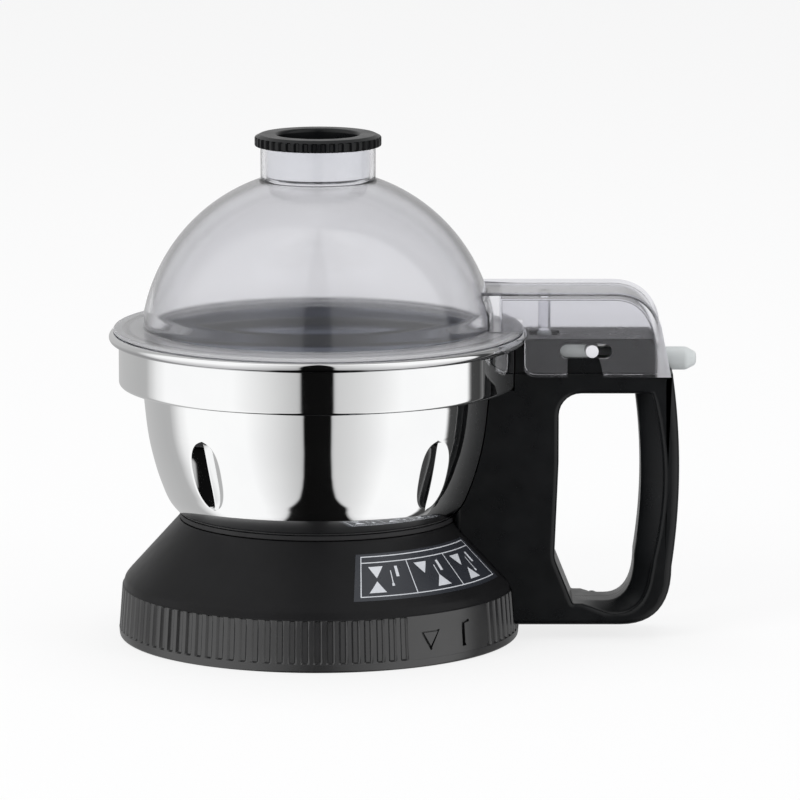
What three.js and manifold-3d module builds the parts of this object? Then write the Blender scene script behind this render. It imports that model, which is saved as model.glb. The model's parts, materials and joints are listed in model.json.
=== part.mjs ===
// Grinding jar of a mixer grinder: steel bowl on a black drive base, black D-shaped handle with a lock
// slider, and a clear domed lid with a stopper. Millimetres, +Z up, handle towards +X, front towards -Y,
// origin at the middle of the base's underside.
import * as THREE from 'three';
import { mergeVertices } from 'three/addons/utils/BufferGeometryUtils.js';
import Module from 'manifold-3d';

const wasm = await Module();
wasm.setup();

// Clearances and facets
const gap = 0.3;
const cutOverrun = 3;
const roundSides = 36;
const smallSides = 14;
const curveSteps = 5;

// Steel bowl: lower body, wide band above a step, and a rolled bead
const bowlWall = 1;
const bowlRadius = 75.6;
const bowlFloorZ = 44;
const bandStepZ = 109.3;
const bandStep = 10.1;
const bandRadius = bowlRadius + bandStep;
const bandCorner = 1.5;
const beadRadius = 2.1;
const rimRadius = bandRadius + 2 * beadRadius;
const beadZ = 130;
const beadStartDegrees = 210;
const beadEndDegrees = 450;
const beadSteps = 6;
const rimLipHeight = 1.4;
const bowlCurveShares = [
  [0.61, 0.031], [0.735, 0.1], [0.839, 0.214], [0.893, 0.345], [0.938, 0.51], [0.972, 0.7], [1, 1],
];
const bowlFloorShare = 0.45;

// Flow breakers pressed into the bowl
const breakerCount = 4;
const breakerFirstDegrees = 45;
const breakerZ = 78;
const breakerHeight = 31;
const breakerWidth = 17;
const breakerDepth = 3.6;

// Base moulding
const baseLipProud = 0.6;
const baseLipRadius = bandRadius + baseLipProud;
const baseLipHeight = 3.8;
const baseLipChamfer = 1.3;
const ribSetback = 0.1;
const ribFootRadius = baseLipRadius - ribSetback;
const ribDraft = 1.4;
const ribTopRadius = ribFootRadius - ribDraft;
const ribDepth = 0.9;
const ribTopZ = 22.1;
const ribCount = 100;
const ribRootOverlap = 1.2;
const panelFromDegrees = -63.4;
const panelToDegrees = -34.5;
const shoulderStep = 2.8;
const shoulderRadius = ribTopRadius - shoulderStep;
const shoulderZ = 27.2;
const shoulderBulge = 1.4;
const coneTopProud = 0.9;
const coneTopZ = 50.6;
const collarTopZ = 51.2;
const collarDraft = 0.6;
const baseWall = 2.6;
const deckThickness = 2.8;
const deckUnderRadius = 46;
const panelMarkDepth = 0.7;
const panelMarkWidth = 10;
const panelMarkHeight = 8.5;
const panelMarkLine = 0.9;
const panelMarkDegrees = -56;
const panelMarkTopZ = 15;
const notchWidth = 2.4;
const notchHeight = 10;
const notchDegrees = -43.5;
const notchTopZ = 17;
const lugCount = 4;
const lugReach = 3.4;
const lugWidth = 16;
const lugHeight = 3.5;
const lugZ = 2.2;

// Soft ring that seats the bowl in the base
const seatRingProud = 1.1;
const seatRingTopZ = 53.5;
const seatRingSection = 6;

// Bearing housing, bushes and shaft
const housingRadius = 12.5;
const flangeRadius = 19.5;
const flangeThickness = 2.8;
const flangeSealThickness = 1;
const housingTopZ = 58;
const housingFootZ = 27;
const housingNeckRadius = 9.8;
const bushRadius = 6;
const bushLength = 9.5;
const shaftRadius = 4;
const shaftSealRadius = 7.6;
const shaftSealHeight = 3.4;
const nutRadius = 19;
const nutHeight = 5;
const nutSides = 6;
const washerThickness = 1;
const clipRadius = 6.6;

// Blades and what clamps them
const spacerRadius = 7.5;
const spacerHeight = 2.6;
const bladeThickness = 1.6;
const bladeLength = 41;
const bladeHubWidth = 17;
const bladeTipWidth = 11;
const bladeBendShare = 0.45;
const lowerBladeRise = -5;
const upperBladeRise = 11;
const bladeNutRadius = 6.8;
const bladeNutHeight = 6;

// Drive coupler
const couplerRadius = 17;
const couplerHubRadius = 9;
const couplerTeeth = 6;
const couplerToothWidth = 6.5;
const couplerHeight = 14;
const couplerWeb = 4;
const couplerBoreDepth = 11;

// Clear lid: dome, neck, flange and spigot
const lidWall = 2.2;
const domeRadius = 76.3;
const domeCentreZ = 125.5;
const domeFootZ = 141;
const domeSteps = 7;
const domeFillet = 0.9;
const neckRadius = 24.6;
const neckRise = 14.1;
const neckTopZ = domeCentreZ + Math.sqrt(domeRadius ** 2 - neckRadius ** 2) + neckRise;
const flangeEdgeRadius = 87.9;
const flangeTopZ = 134.2;
const flangeEdgeChamfer = 0.6;
const flangeSkin = 2.9;
const spigotClearance = 0.7;
const spigotWall = 2.6;
const spigotFootZ = 119.5;
const grooveDepth = 1.3;
const grooveHeight = 4;
const grooveZ = 121.2;
const gasketProud = 0.4;

// Stopper in the neck
const capRadius = 27.1;
const capThickness = 5;
const capKnurls = 44;
const knurlDepth = 0.9;
const capOpeningRadius = 17.3;
const capBevel = 1.2;
const cupRadius = 22;
const cupWall = 0.8;
const cupDepth = 13.8;
const capStemRadius = 20.9;
const capFloor = 1.6;

// Clear arm of the lid, over the top of the handle; reaches are measured along X from the rim
const armWall = 2.2;
const armHalfWidth = 20;
const armStartReach = -19.9;
const armStartX = rimRadius + armStartReach;
const armCavityReach = -11.3;
const armCavityX = rimRadius + armCavityReach;
const armTopZ = 149.9;
const armSkirtZ = 116.5;
const armSkirtReach = -1.2;
const armSkirtX = rimRadius + armSkirtReach;
const armSkirtCorner = 4;
const armCrownReach = 36.4;
const armCrownX = rimRadius + armCrownReach;
const armCrownHandleReach = 50.9;
const armCrownHandleX = rimRadius + armCrownHandleReach;
const armShoulderReach = 54.9;
const armShoulderX = rimRadius + armShoulderReach;
const armShoulderZ = 136.5;
const armFootReach = 58.9;
const armFootX = rimRadius + armFootReach;
const postReach = 7;
const postX = rimRadius + postReach;
const postRadius = 2.6;
const postFootZ = 132.3;

// Handle: two half shells, with reaches along X from the rim
const handleHalfWidth = 18.6;
const handleWall = 2.6;
const handleFootZ = 6.6;
const handleShoulderGap = 0.3;
const handleStartReach = -31.9;
const handleStartX = rimRadius + handleStartReach;
const coreTopZ = 131.2;
const coreClearance = 0.5;
const gripTopReach = 61.6;
const gripTopX = rimRadius + gripTopReach;
const gripBulgeReach = 64.7;
const gripBulgeX = rimRadius + gripBulgeReach;
const gripFootReach = 61.7;
const gripFootX = rimRadius + gripFootReach;
const gripFootZ = 32;
const gripCornerReach = 39.6;
const gripCornerX = rimRadius + gripCornerReach;
const fingerLeftReach = 13;
const fingerLeftX = rimRadius + fingerLeftReach;
const fingerWaistReach = 11.3;
const fingerWaistX = rimRadius + fingerWaistReach;
const fingerWaistZ = 36;
const fingerTopZ = 107.4;
const fingerFloorZ = 16;
const fingerFloorLeftReach = 19.4;
const fingerFloorLeftX = rimRadius + fingerFloorLeftReach;
const fingerFloorRightReach = 33.1;
const fingerFloorRightX = rimRadius + fingerFloorRightReach;
const fingerRightTopReach = 45.8;
const fingerRightTopX = rimRadius + fingerRightTopReach;
const fingerRightBulgeReach = 48.5;
const fingerRightBulgeX = rimRadius + fingerRightBulgeReach;
const fingerRightFootReach = 45.7;
const fingerRightFootX = rimRadius + fingerRightFootReach;
const fingerRightFootZ = 36;
const fingerCorner = 9.5;
const fingerSmallCorner = 1.5;
const gripFlareReach = 7;
const gripFlareDepth = 9.5;
const pocketTopZ = 108;

// Screws
const screwRadius = 1.7;
const screwHeadRadius = 3.3;
const screwHeadHeight = 2.2;
const bossRadius = 4;
const screwDepth = 12;
const gripTopScrewReach = 56.4;
const gripTopScrewX = rimRadius + gripTopScrewReach;
const gripTopScrewDrop = 10;
const gripFootScrewReach = 52.1;
const gripFootScrewX = rimRadius + gripFootScrewReach;
const gripFootScrewRise = 12.6;
const footScrewReach = 28.4;
const footScrewX = rimRadius + footScrewReach;
const footScrewRise = 5.2;
const columnScrewReach = 9.4;
const columnScrewDrop = 6;
const handleScrewPlaces = {
  grip_top: [gripTopScrewX, fingerTopZ - gripTopScrewDrop],
  grip_foot: [gripFootScrewX, handleFootZ + gripFootScrewRise],
  foot: [footScrewX, handleFootZ + footScrewRise],
  column: [postX - columnScrewReach, fingerTopZ - columnScrewDrop],
};
const sideScrewY = 9;
const bracketScrewZ = 80;
const baseScrewZ = 14;
const baseScrewReach = 11;

// Bracket welded to the bowl
const bracketThickness = 1.5;
const bracketHalfWidth = 14;
const bracketFootZ = 66;
const bracketTopZ = 96;

// Lock slider and its cross pin
const knobRadius = 5;
const knobZ = 120.1;
const knobTipReach = 72.2;
const knobTipX = rimRadius + knobTipReach;
const knobTipRound = 2.2;
const knobTipShares = [[0, -1.6], [-0.3, -0.6], [-1, 0]];
const pinRadius = 2.8;
const pinReach = 27;
const pinX = rimRadius + pinReach;
const pinZ = 126;
const pinEndGap = 0.2;
const knobMouthHalfWidth = 8;
const knobMouthRoom = 1.5;
const sliderBlockLength = 9.4;
const sliderBlockHalfHeight = 3.5;
const sliderCheekLength = 8;
const sliderCheekThickness = 3.7;
const cavityHalfWidth = 14.6;
const pushTravel = 9.8;
const lockTravel = 4.8;
const slotRoom = 0.9;
const slotEndRoom = 0.3;
const slotCorner = 1;
const armNotchReach = 16.5;
const armNotchX = rimRadius + armNotchReach;
const armNotchSlantReach = 31.6;
const armNotchSlantX = rimRadius + armNotchSlantReach;

// Interlock rod and spring
const rodRadius = 3;
const rodTravel = 4;
const rodFootRoom = 2;
const rodFootZ = rodTravel + rodFootRoom;
const rodPocketReach = 6.5;
const rodPocketDepth = 2.2;
const collarRadius = 4.9;
const collarHeight = 1.8;
const springWire = 0.5;
const springRadius = 4.1;
const springTurns = 6;
const springTopZ = 25;
const springStepsPerTurn = 8;
const springWireSides = 5;

const degrees = (angle) => THREE.MathUtils.degToRad(angle);

// A closed three.js geometry as a solid, with shared corners merged and empty triangles left out
function solidOf(geometry) {
  const bare = geometry.clone();
  bare.deleteAttribute('normal');
  bare.deleteAttribute('uv');
  const merged = mergeVertices(bare);
  const corners = merged.index.array;
  const triangles = [];
  for (let i = 0; i < corners.length; i += 3) {
    const [a, b, c] = [corners[i], corners[i + 1], corners[i + 2]];
    if (a !== b && b !== c && c !== a) triangles.push(a, b, c);
  }
  return new wasm.Manifold(new wasm.Mesh({
    numProp: 3,
    vertProperties: new Float32Array(merged.attributes.position.array),
    triVerts: new Uint32Array(triangles),
  }));
}

const add = (...solids) => solids.reduce((sum, solid) => sum.add(solid));
const cut = (solid, ...tools) => tools.reduce((left, tool) => left.subtract(tool), solid);

// Twice the signed area of a closed outline
const turning = (outline) => outline.reduce((sum, [x, y], i) => {
  const [nextX, nextY] = outline[(i + 1) % outline.length];
  return sum + x * nextY - nextX * y;
}, 0);

// Solid of revolution about Z from a closed outline of [radius, z] corners
function turned(outline, sides = roundSides) {
  const ordered = turning(outline) > 0 ? outline : [...outline].reverse();
  const corners = [...ordered, ordered[0]].map(([r, z]) => new THREE.Vector2(r, z));
  return solidOf(new THREE.LatheGeometry(corners, sides).rotateX(degrees(90)));
}

// Cylinder from low to high on Z
const cylinder = (radius, low, high, sides = smallSides) => turned(
  [[0, low], [radius, low], [radius, high], [0, high]], sides);

// Cylinder along X or Y through a place given in the other two axes
function cylinderX(radius, fromX, toX, y, z, sides = smallSides) {
  const form = new THREE.CylinderGeometry(radius, radius, toX - fromX, sides);
  return solidOf(form.rotateZ(degrees(90)).translate((fromX + toX) / 2, y, z));
}

function cylinderY(radius, fromY, toY, x, z, sides = smallSides) {
  const form = new THREE.CylinderGeometry(radius, radius, toY - fromY, sides);
  return solidOf(form.translate(x, (fromY + toY) / 2, z));
}

// Box between two opposite corners
function block(low, high) {
  const size = high.map((value, i) => value - low[i]);
  const middle = high.map((value, i) => (value + low[i]) / 2);
  return solidOf(new THREE.BoxGeometry(...size).translate(...middle));
}

// Outline in the X-Z plane pushed along Y
function plateXZ(shape, fromY, toY, steps = curveSteps) {
  const options = { depth: toY - fromY, bevelEnabled: false, curveSegments: steps };
  return solidOf(new THREE.ExtrudeGeometry(shape, options).rotateX(degrees(90)).translate(0, toY, 0));
}

// Line of [radius, z] points moved outwards by a distance, with mitred corners
function offsetLine(points, distance) {
  const normal = ([r0, z0], [r1, z1]) => {
    const length = Math.hypot(r1 - r0, z1 - z0);
    return [(z1 - z0) / length, (r0 - r1) / length];
  };
  return points.map(([r, z], i) => {
    const sides = [];
    if (i > 0) sides.push(normal(points[i - 1], points[i]));
    if (i < points.length - 1) sides.push(normal(points[i], points[i + 1]));
    const [first, last] = [sides[0], sides[sides.length - 1]];
    const along = 1 + first[0] * last[0] + first[1] * last[1];
    const reach = (2 * distance) / along / 2;
    return [r + (first[0] + last[0]) * reach, z + (first[1] + last[1]) * reach];
  });
}

// Points of an arc about [centreRadius, z]
function arc(radius, z, centreRadius, fromDegrees, toDegrees, steps) {
  return Array.from({ length: steps + 1 }, (_, i) => {
    const angle = degrees(fromDegrees + ((toDegrees - fromDegrees) * i) / steps);
    return [centreRadius + radius * Math.cos(angle), z + radius * Math.sin(angle)];
  });
}

// Outer line of the bowl's lower body, floor to step
const bowlBodyLine = [[bowlFloorShare * bowlRadius, bowlFloorZ], ...bowlCurveShares.map(([r, z]) => [
  r * bowlRadius, bowlFloorZ + z * (bandStepZ - bowlFloorZ)])];
const rimTopZ = beadZ + beadRadius;

// Radius of the bowl's outside at a height
function bowlRadiusAt(z) {
  const i = bowlBodyLine.findIndex(([, height]) => height > z);
  const [[r0, z0], [r1, z1]] = [bowlBodyLine[i - 1], bowlBodyLine[i]];
  return r0 + ((r1 - r0) * (z - z0)) / (z1 - z0);
}

const seatRingRadius = bowlRadiusAt(seatRingTopZ) + seatRingProud;
const coneTopRadius = seatRingRadius + coneTopProud;

// Room that the bowl and the base need, grown by a distance, for the pieces that hug them
function jarRoom(distance) {
  const body = offsetLine(bowlBodyLine, distance);
  const baseLine = offsetLine([
    [baseLipRadius, 0], [baseLipRadius, baseLipHeight], [ribTopRadius, ribTopZ],
    [shoulderRadius, shoulderZ], [coneTopRadius, coneTopZ], [coneTopRadius, collarTopZ],
    [seatRingRadius, seatRingTopZ],
  ], distance);
  return add(
    turned([[0, bowlFloorZ - distance], ...body, [bowlRadius + distance, bandStepZ + distance],
      [0, bandStepZ + distance]]),
    turned([[0, bandStepZ - distance], [bandRadius + distance, bandStepZ - distance],
      [bandRadius + distance, beadZ], [0, beadZ]]),
    turned([[0, beadZ - beadRadius - distance], [rimRadius + distance, beadZ - beadRadius - distance],
      [rimRadius + distance, coreTopZ + cutOverrun], [0, coreTopZ + cutOverrun]]),
    turned([[0, -cutOverrun], [baseLipRadius + distance, -cutOverrun], ...baseLine, [0, seatRingTopZ]]),
  );
}

// Ellipsoid centred on the bowl's wall at one flow breaker
function breakerForm(angle, grow) {
  const ball = new THREE.SphereGeometry(1, smallSides - curveSteps, curveSteps * 2);
  ball.rotateX(degrees(90));
  ball.scale(breakerDepth + grow, breakerWidth / 2 + grow, breakerHeight / 2 + grow);
  const place = breakerZ - bowlFloorZ;
  const line = bowlBodyLine.find(([, z]) => z - bowlFloorZ > place);
  return solidOf(ball.translate(line[0], 0, breakerZ).rotateZ(degrees(angle)));
}

function bowl() {
  const wallLine = [
    ...bowlBodyLine, [bandRadius - bandCorner, bandStepZ], [bandRadius, bandStepZ + bandCorner],
    [bandRadius, beadZ - beadRadius / 2],
  ];
  const bead = arc(beadRadius, beadZ, bandRadius + beadRadius, beadStartDegrees, beadEndDegrees, beadSteps);
  const inside = offsetLine(wallLine, -bowlWall).reverse();
  inside[0][1] = beadZ + rimLipHeight;
  const hole = housingRadius + gap;
  const floorUp = [hole, bowlFloorZ + bowlWall];
  const shell = turned([[hole, bowlFloorZ], ...wallLine, ...bead, ...inside, floorUp]);
  const pitch = 360 / breakerCount;
  const angles = Array.from({ length: breakerCount }, (_, i) => breakerFirstDegrees + i * pitch);
  const inner = turned([[0, bowlFloorZ], ...bowlBodyLine, [0, bandStepZ]]);
  const bulges = add(...angles.map((angle) => breakerForm(angle, bowlWall))).intersect(inner);
  return cut(shell.add(bulges), ...angles.map((angle) => breakerForm(angle, 0)));
}

// Ring of upright ribs with one plain panel, drawn in towards the top
function ribRing() {
  const shape = new THREE.Shape();
  const pitch = 360 / ribCount;
  for (let i = 0; i < ribCount * 2; i += 1) {
    const angle = panelFromDegrees + (i * pitch) / 2;
    const onPanel = angle < panelToDegrees + pitch / 2;
    const radius = onPanel || i % 2 === 0 ? ribFootRadius : ribFootRadius - ribDepth;
    shape.lineTo(radius * Math.cos(degrees(angle)), radius * Math.sin(degrees(angle)));
  }
  shape.curves.shift();
  const rootRadius = ribFootRadius - ribDepth - ribRootOverlap;
  shape.holes.push(new THREE.Path().absarc(0, 0, rootRadius, 0, degrees(360)));
  const options = { depth: ribTopZ - baseLipHeight, bevelEnabled: false, curveSegments: roundSides / 2 };
  const ring = new THREE.ExtrudeGeometry(shape, options);
  const place = ring.attributes.position;
  const draft = ribTopRadius / ribFootRadius;
  for (let i = 0; i < place.count; i += 1) {
    const share = place.getZ(i) > 0 ? draft : 1;
    place.setXY(i, place.getX(i) * share, place.getY(i) * share);
  }
  return solidOf(ring.translate(0, 0, baseLipHeight));
}

// Engraved outline triangle on the plain panel, point down
function panelTriangle() {
  const outline = (scale, top) => [[-1, 0], [0, -1], [1, 0]].map(([x, y]) => new THREE.Vector2(
    (x * scale * panelMarkWidth) / 2, top + y * scale * panelMarkHeight));
  const shape = new THREE.Shape(outline(1, 0));
  const inner = (panelMarkWidth - 4 * panelMarkLine) / panelMarkWidth;
  shape.holes.push(new THREE.Path(outline(inner, -panelMarkLine)));
  const depth = panelMarkDepth + cutOverrun;
  const mark = new THREE.ExtrudeGeometry(shape, { depth, bevelEnabled: false });
  mark.rotateX(degrees(90)).rotateZ(degrees(90)).translate(ribTopRadius - panelMarkDepth, 0, panelMarkTopZ);
  return solidOf(mark.rotateZ(degrees(panelMarkDegrees)));
}

function panelNotch() {
  const depth = panelMarkDepth + cutOverrun;
  const slot = new THREE.BoxGeometry(depth, notchWidth, notchHeight);
  slot.translate(ribTopRadius - panelMarkDepth + depth / 2, 0, notchTopZ - notchHeight / 2);
  return solidOf(slot.rotateZ(degrees(notchDegrees)));
}

// Bayonet lug inside the skirt, where the base turns on to a motor unit
function lug(angle) {
  const inner = baseLipRadius - baseWall - lugReach;
  const form = new THREE.BoxGeometry(lugReach + baseWall, lugWidth, lugHeight);
  form.translate(inner + (lugReach + baseWall) / 2, 0, lugZ + lugHeight / 2);
  return solidOf(form.rotateZ(degrees(angle)));
}

function base() {
  const valley = ribFootRadius - ribDepth;
  const deckUnderZ = bowlFloorZ - gap - deckThickness;
  const outer = [
    [baseLipRadius - baseLipChamfer, 0], [baseLipRadius, baseLipChamfer], [baseLipRadius, baseLipHeight],
    [valley, baseLipHeight], [ribTopRadius - ribDepth, ribTopZ],
    [ribTopRadius - ribDepth, ribTopZ + gap], [shoulderRadius + shoulderBulge, (ribTopZ + shoulderZ) / 2],
    [shoulderRadius, shoulderZ], [coneTopRadius, coneTopZ], [coneTopRadius - collarDraft, collarTopZ],
  ];
  const inner = [
    [housingRadius + gap, deckUnderZ], [deckUnderRadius, deckUnderZ],
    [coneTopRadius - 2 * baseWall, coneTopZ - baseWall],
    [shoulderRadius - 1.5 * baseWall, shoulderZ - baseWall],
    [ribTopRadius - baseWall - ribDepth, ribTopZ - baseWall], [baseLipRadius - baseWall - ribDepth, 0],
  ];
  const moulding = turned([...outer, [housingRadius + gap, collarTopZ], ...inner]);
  const lugs = Array.from({ length: lugCount }, (_, i) => lug((i * 360) / lugCount + 360 / lugCount / 2));
  const screwHoles = [-sideScrewY, sideScrewY].map((y) => cylinderX(
    screwRadius + gap, baseLipRadius - baseWall * 3, baseLipRadius + cutOverrun, y, baseScrewZ));
  const seat = turned([[0, bowlFloorZ - gap], ...offsetLine(bowlBodyLine, gap), [0, bandStepZ]]);
  return cut(add(moulding, ribRing(), ...lugs), seat, panelTriangle(), panelNotch(), ...screwHoles);
}

function seatRing() {
  const foot = collarTopZ + gap;
  const ring = turned([
    [seatRingRadius - seatRingSection, foot], [seatRingRadius, foot], [seatRingRadius, seatRingTopZ - gap],
    [seatRingRadius - gap, seatRingTopZ], [seatRingRadius - seatRingSection, seatRingTopZ],
  ]);
  return cut(ring, turned([[0, bowlFloorZ], ...offsetLine(bowlBodyLine, gap), [0, bandStepZ]]));
}

// Heights up the middle of the jar, each from the piece below or above it
const flangeSealZ = bowlFloorZ + bowlWall + gap;
const flangeZ = flangeSealZ + flangeSealThickness + gap;
const nutTopZ = bowlFloorZ - gap - deckThickness - gap - washerThickness - gap;
const shaftSealZ = housingTopZ - shaftSealHeight;
const spacerZ = housingTopZ + gap;
const lowerBladeZ = spacerZ + spacerHeight + gap;
const upperBladeZ = lowerBladeZ + bladeThickness + gap;
const bladeWasherZ = upperBladeZ + bladeThickness + gap;
const bladeNutZ = bladeWasherZ + washerThickness + gap;
const shaftTopZ = bladeNutZ + bladeNutHeight / 2;
const thrustWasherZ = housingFootZ - gap - washerThickness;
const clipZ = thrustWasherZ - gap - washerThickness;
const couplerTopZ = clipZ - gap;
const couplerFootZ = couplerTopZ - couplerHeight;
const shaftFootZ = couplerTopZ - couplerBoreDepth;

const ring = (inner, outer, low, high, sides = smallSides) => turned(
  [[inner, low], [outer, low], [outer, high], [inner, high]], sides);

// Flat ring with a gap round the shaft or sleeve that it sits on
const washer = (inner, outer, low, height) => ring(inner + gap, outer, low, low + height);

function housingNut() {
  const foot = nutTopZ - nutHeight;
  const bore = cylinder(housingRadius + gap, foot - cutOverrun, nutTopZ + cutOverrun);
  return cut(cylinder(nutRadius, foot, nutTopZ, nutSides), bore);
}

function housing() {
  const bore = bushRadius + gap;
  return turned([
    [bore, housingFootZ], [housingRadius, housingFootZ], [housingRadius, flangeZ], [flangeRadius, flangeZ],
    [flangeRadius, flangeZ + flangeThickness],
    [housingNeckRadius + gap, flangeZ + flangeThickness + 2 * gap],
    [housingNeckRadius, housingTopZ], [shaftSealRadius + gap, housingTopZ],
    [shaftSealRadius + gap, shaftSealZ - gap], [bore, shaftSealZ - gap],
  ], smallSides);
}

function coupler() {
  const hub = cylinder(couplerHubRadius, couplerFootZ, couplerTopZ);
  const web = cylinder(couplerRadius, couplerTopZ - couplerWeb, couplerTopZ);
  const teeth = Array.from({ length: couplerTeeth }, (_, i) => {
    const length = couplerRadius - couplerHubRadius + gap;
    const height = couplerHeight - couplerWeb / 2;
    const tooth = new THREE.BoxGeometry(length, couplerToothWidth, height);
    tooth.translate(couplerRadius - length / 2 - gap, 0, couplerFootZ + height / 2);
    return solidOf(tooth.rotateZ((i * degrees(360)) / couplerTeeth));
  });
  const bore = cylinder(shaftRadius + gap, shaftFootZ - gap, couplerTopZ + cutOverrun);
  return cut(add(hub, web, ...teeth), bore);
}

// Two-wing blade: flat hub, and wings that rise or fall from the bend to the tip
function blade(z, rise, angle) {
  const half = bladeHubWidth / 2;
  const tip = bladeTipWidth / 2;
  const bend = bladeLength * bladeBendShare;
  const flat = { depth: bladeThickness, bevelEnabled: false };
  const hub = block([-bend, -half, 0], [bend, half, bladeThickness]);
  const plan = [[bend, -half], [bladeLength - tip, -tip], [bladeLength, tip / 2], [bend, half]];
  const corners = plan.map(([x, y]) => new THREE.Vector2(x, y));
  const wing = new THREE.ExtrudeGeometry(new THREE.Shape(corners), flat);
  const slope = rise / (bladeLength - bend);
  wing.applyMatrix4(new THREE.Matrix4().set(1, 0, 0, 0, 0, 1, 0, 0, slope, 0, 1, -bend * slope, 0, 0, 0, 1));
  const right = solidOf(wing);
  const left = solidOf(wing.clone().rotateZ(degrees(180)));
  const hole = cylinder(shaftRadius + gap, -cutOverrun, bladeThickness + cutOverrun);
  return cut(add(hub, right, left), hole).rotate([0, 0, angle]).translate([0, 0, z]);
}

function bladeNut() {
  const top = bladeNutZ + bladeNutHeight;
  const hex = cylinder(bladeNutRadius, bladeNutZ, bladeNutZ + bladeNutHeight / 2, nutSides);
  const crown = turned([
    [0, bladeNutZ], [bladeNutRadius * Math.cos(degrees(30)), bladeNutZ],
    [bladeNutRadius * Math.cos(degrees(45)), top - bladeNutHeight / 4], [bladeNutRadius / 2, top], [0, top],
  ], smallSides);
  return cut(add(hex, crown), cylinder(shaftRadius + gap, bladeNutZ - cutOverrun, shaftTopZ + gap));
}

// Outer line of the lid, from the flange's edge to the top of the neck
function lidLine(distance = 0) {
  const neckDegrees = THREE.MathUtils.radToDeg(Math.acos(neckRadius / domeRadius));
  const footDegrees = THREE.MathUtils.radToDeg(Math.asin((domeFootZ - domeCentreZ) / domeRadius));
  const edgeZ = rimTopZ + gap;
  return offsetLine([
    [flangeEdgeRadius, edgeZ], [flangeEdgeRadius, flangeTopZ - flangeEdgeChamfer],
    [flangeEdgeRadius - flangeEdgeChamfer, flangeTopZ],
    [domeRadius * Math.cos(degrees(footDegrees)) + domeFillet, flangeTopZ],
    [domeRadius * Math.cos(degrees(footDegrees)), flangeTopZ + domeFillet],
    ...arc(domeRadius, domeCentreZ, 0, footDegrees, neckDegrees, domeSteps),
    [neckRadius, neckTopZ],
  ], distance);
}

const spigotRadius = bandRadius - bowlWall - spigotClearance;

function lidDome() {
  const outer = lidLine();
  const underZ = flangeTopZ - flangeSkin;
  const innerFoot = domeRadius - lidWall;
  const startDegrees = THREE.MathUtils.radToDeg(Math.asin((flangeTopZ - domeCentreZ) / innerFoot));
  const stopDegrees = THREE.MathUtils.radToDeg(Math.acos((neckRadius - lidWall) / innerFoot));
  const inner = arc(innerFoot - gap, domeCentreZ, 0, startDegrees, stopDegrees, domeSteps).reverse();
  const mouth = inner[inner.length - 1][0];
  return turned([
    ...outer, [neckRadius - lidWall + gap, neckTopZ], [neckRadius - lidWall + gap, inner[0][1]],
    ...inner.slice(1), [mouth, underZ], [spigotRadius - spigotWall, underZ],
    [spigotRadius - spigotWall, spigotFootZ], [spigotRadius, spigotFootZ],
    [spigotRadius, grooveZ], [spigotRadius - grooveDepth, grooveZ],
    [spigotRadius - grooveDepth, grooveZ + grooveHeight], [spigotRadius, grooveZ + grooveHeight],
    [spigotRadius, rimTopZ + gap],
  ]);
}

const lidGasket = () => ring(
  spigotRadius - grooveDepth + gap, spigotRadius + gasketProud,
  grooveZ + gap, grooveZ + grooveHeight - gap, roundSides);

// Knurled stopper: flange on the neck, hollow stem with a floor
function capRing() {
  const outline = Array.from({ length: capKnurls * 2 }, (_, i) => {
    const radius = i % 2 === 0 ? capRadius : capRadius - knurlDepth;
    const angle = (i * degrees(180)) / capKnurls;
    return new THREE.Vector2(radius * Math.cos(angle), radius * Math.sin(angle));
  });
  const foot = neckTopZ + gap;
  const top = foot + capThickness;
  const options = { depth: capThickness - capBevel, bevelEnabled: false };
  const teeth = new THREE.ExtrudeGeometry(new THREE.Shape(outline), options);
  const crown = turned([[0, foot], [capRadius - knurlDepth, foot], [capRadius - knurlDepth, top - capBevel],
    [capRadius - knurlDepth - capBevel, top], [0, top]]);
  const stemFoot = neckTopZ - cupDepth + cupWall + gap;
  const stem = cylinder(capStemRadius, stemFoot, top - capBevel, roundSides);
  const hollow = turned([[0, stemFoot + capFloor], [capOpeningRadius, stemFoot + capFloor],
    [capOpeningRadius, top - capBevel], [capOpeningRadius + capBevel, top + gap], [0, top + gap]]);
  return cut(add(solidOf(teeth.translate(0, 0, foot)), crown, stem), hollow);
}

// Steel cup pressed over the stopper's stem
function capCup() {
  const foot = neckTopZ - cupDepth;
  return turned([[0, foot], [cupRadius - cupWall, foot], [cupRadius, foot + cupWall], [cupRadius, neckTopZ],
    [cupRadius - cupWall, neckTopZ], [cupRadius - cupWall, foot + cupWall], [0, foot + cupWall]]);
}

// Right end of the lid's arm in the X-Z plane, drawn in by a distance, from the top to the foot
function armEnd(shape, inset, footZ) {
  const shoulderX = armShoulderX - inset;
  shape.lineTo(armCrownX, armTopZ - inset);
  shape.quadraticCurveTo(armCrownHandleX - inset, armTopZ - inset, shoulderX, armShoulderZ - inset);
  const slope = (armFootX - armShoulderX) / (armShoulderZ - armSkirtZ);
  shape.lineTo(shoulderX + slope * (armShoulderZ - inset - footZ), footZ);
}

// Way of the lock pin through the handle, round at both ends
function pinSlot(grow, fromY, toY) {
  const low = pinX - pushTravel;
  const high = pinX + lockTravel;
  const radius = pinRadius + grow;
  return add(
    block([low, fromY, pinZ - radius], [high, toY, pinZ + radius]),
    cylinderY(radius, fromY, toY, low, pinZ), cylinderY(radius, fromY, toY, high, pinZ));
}

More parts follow.
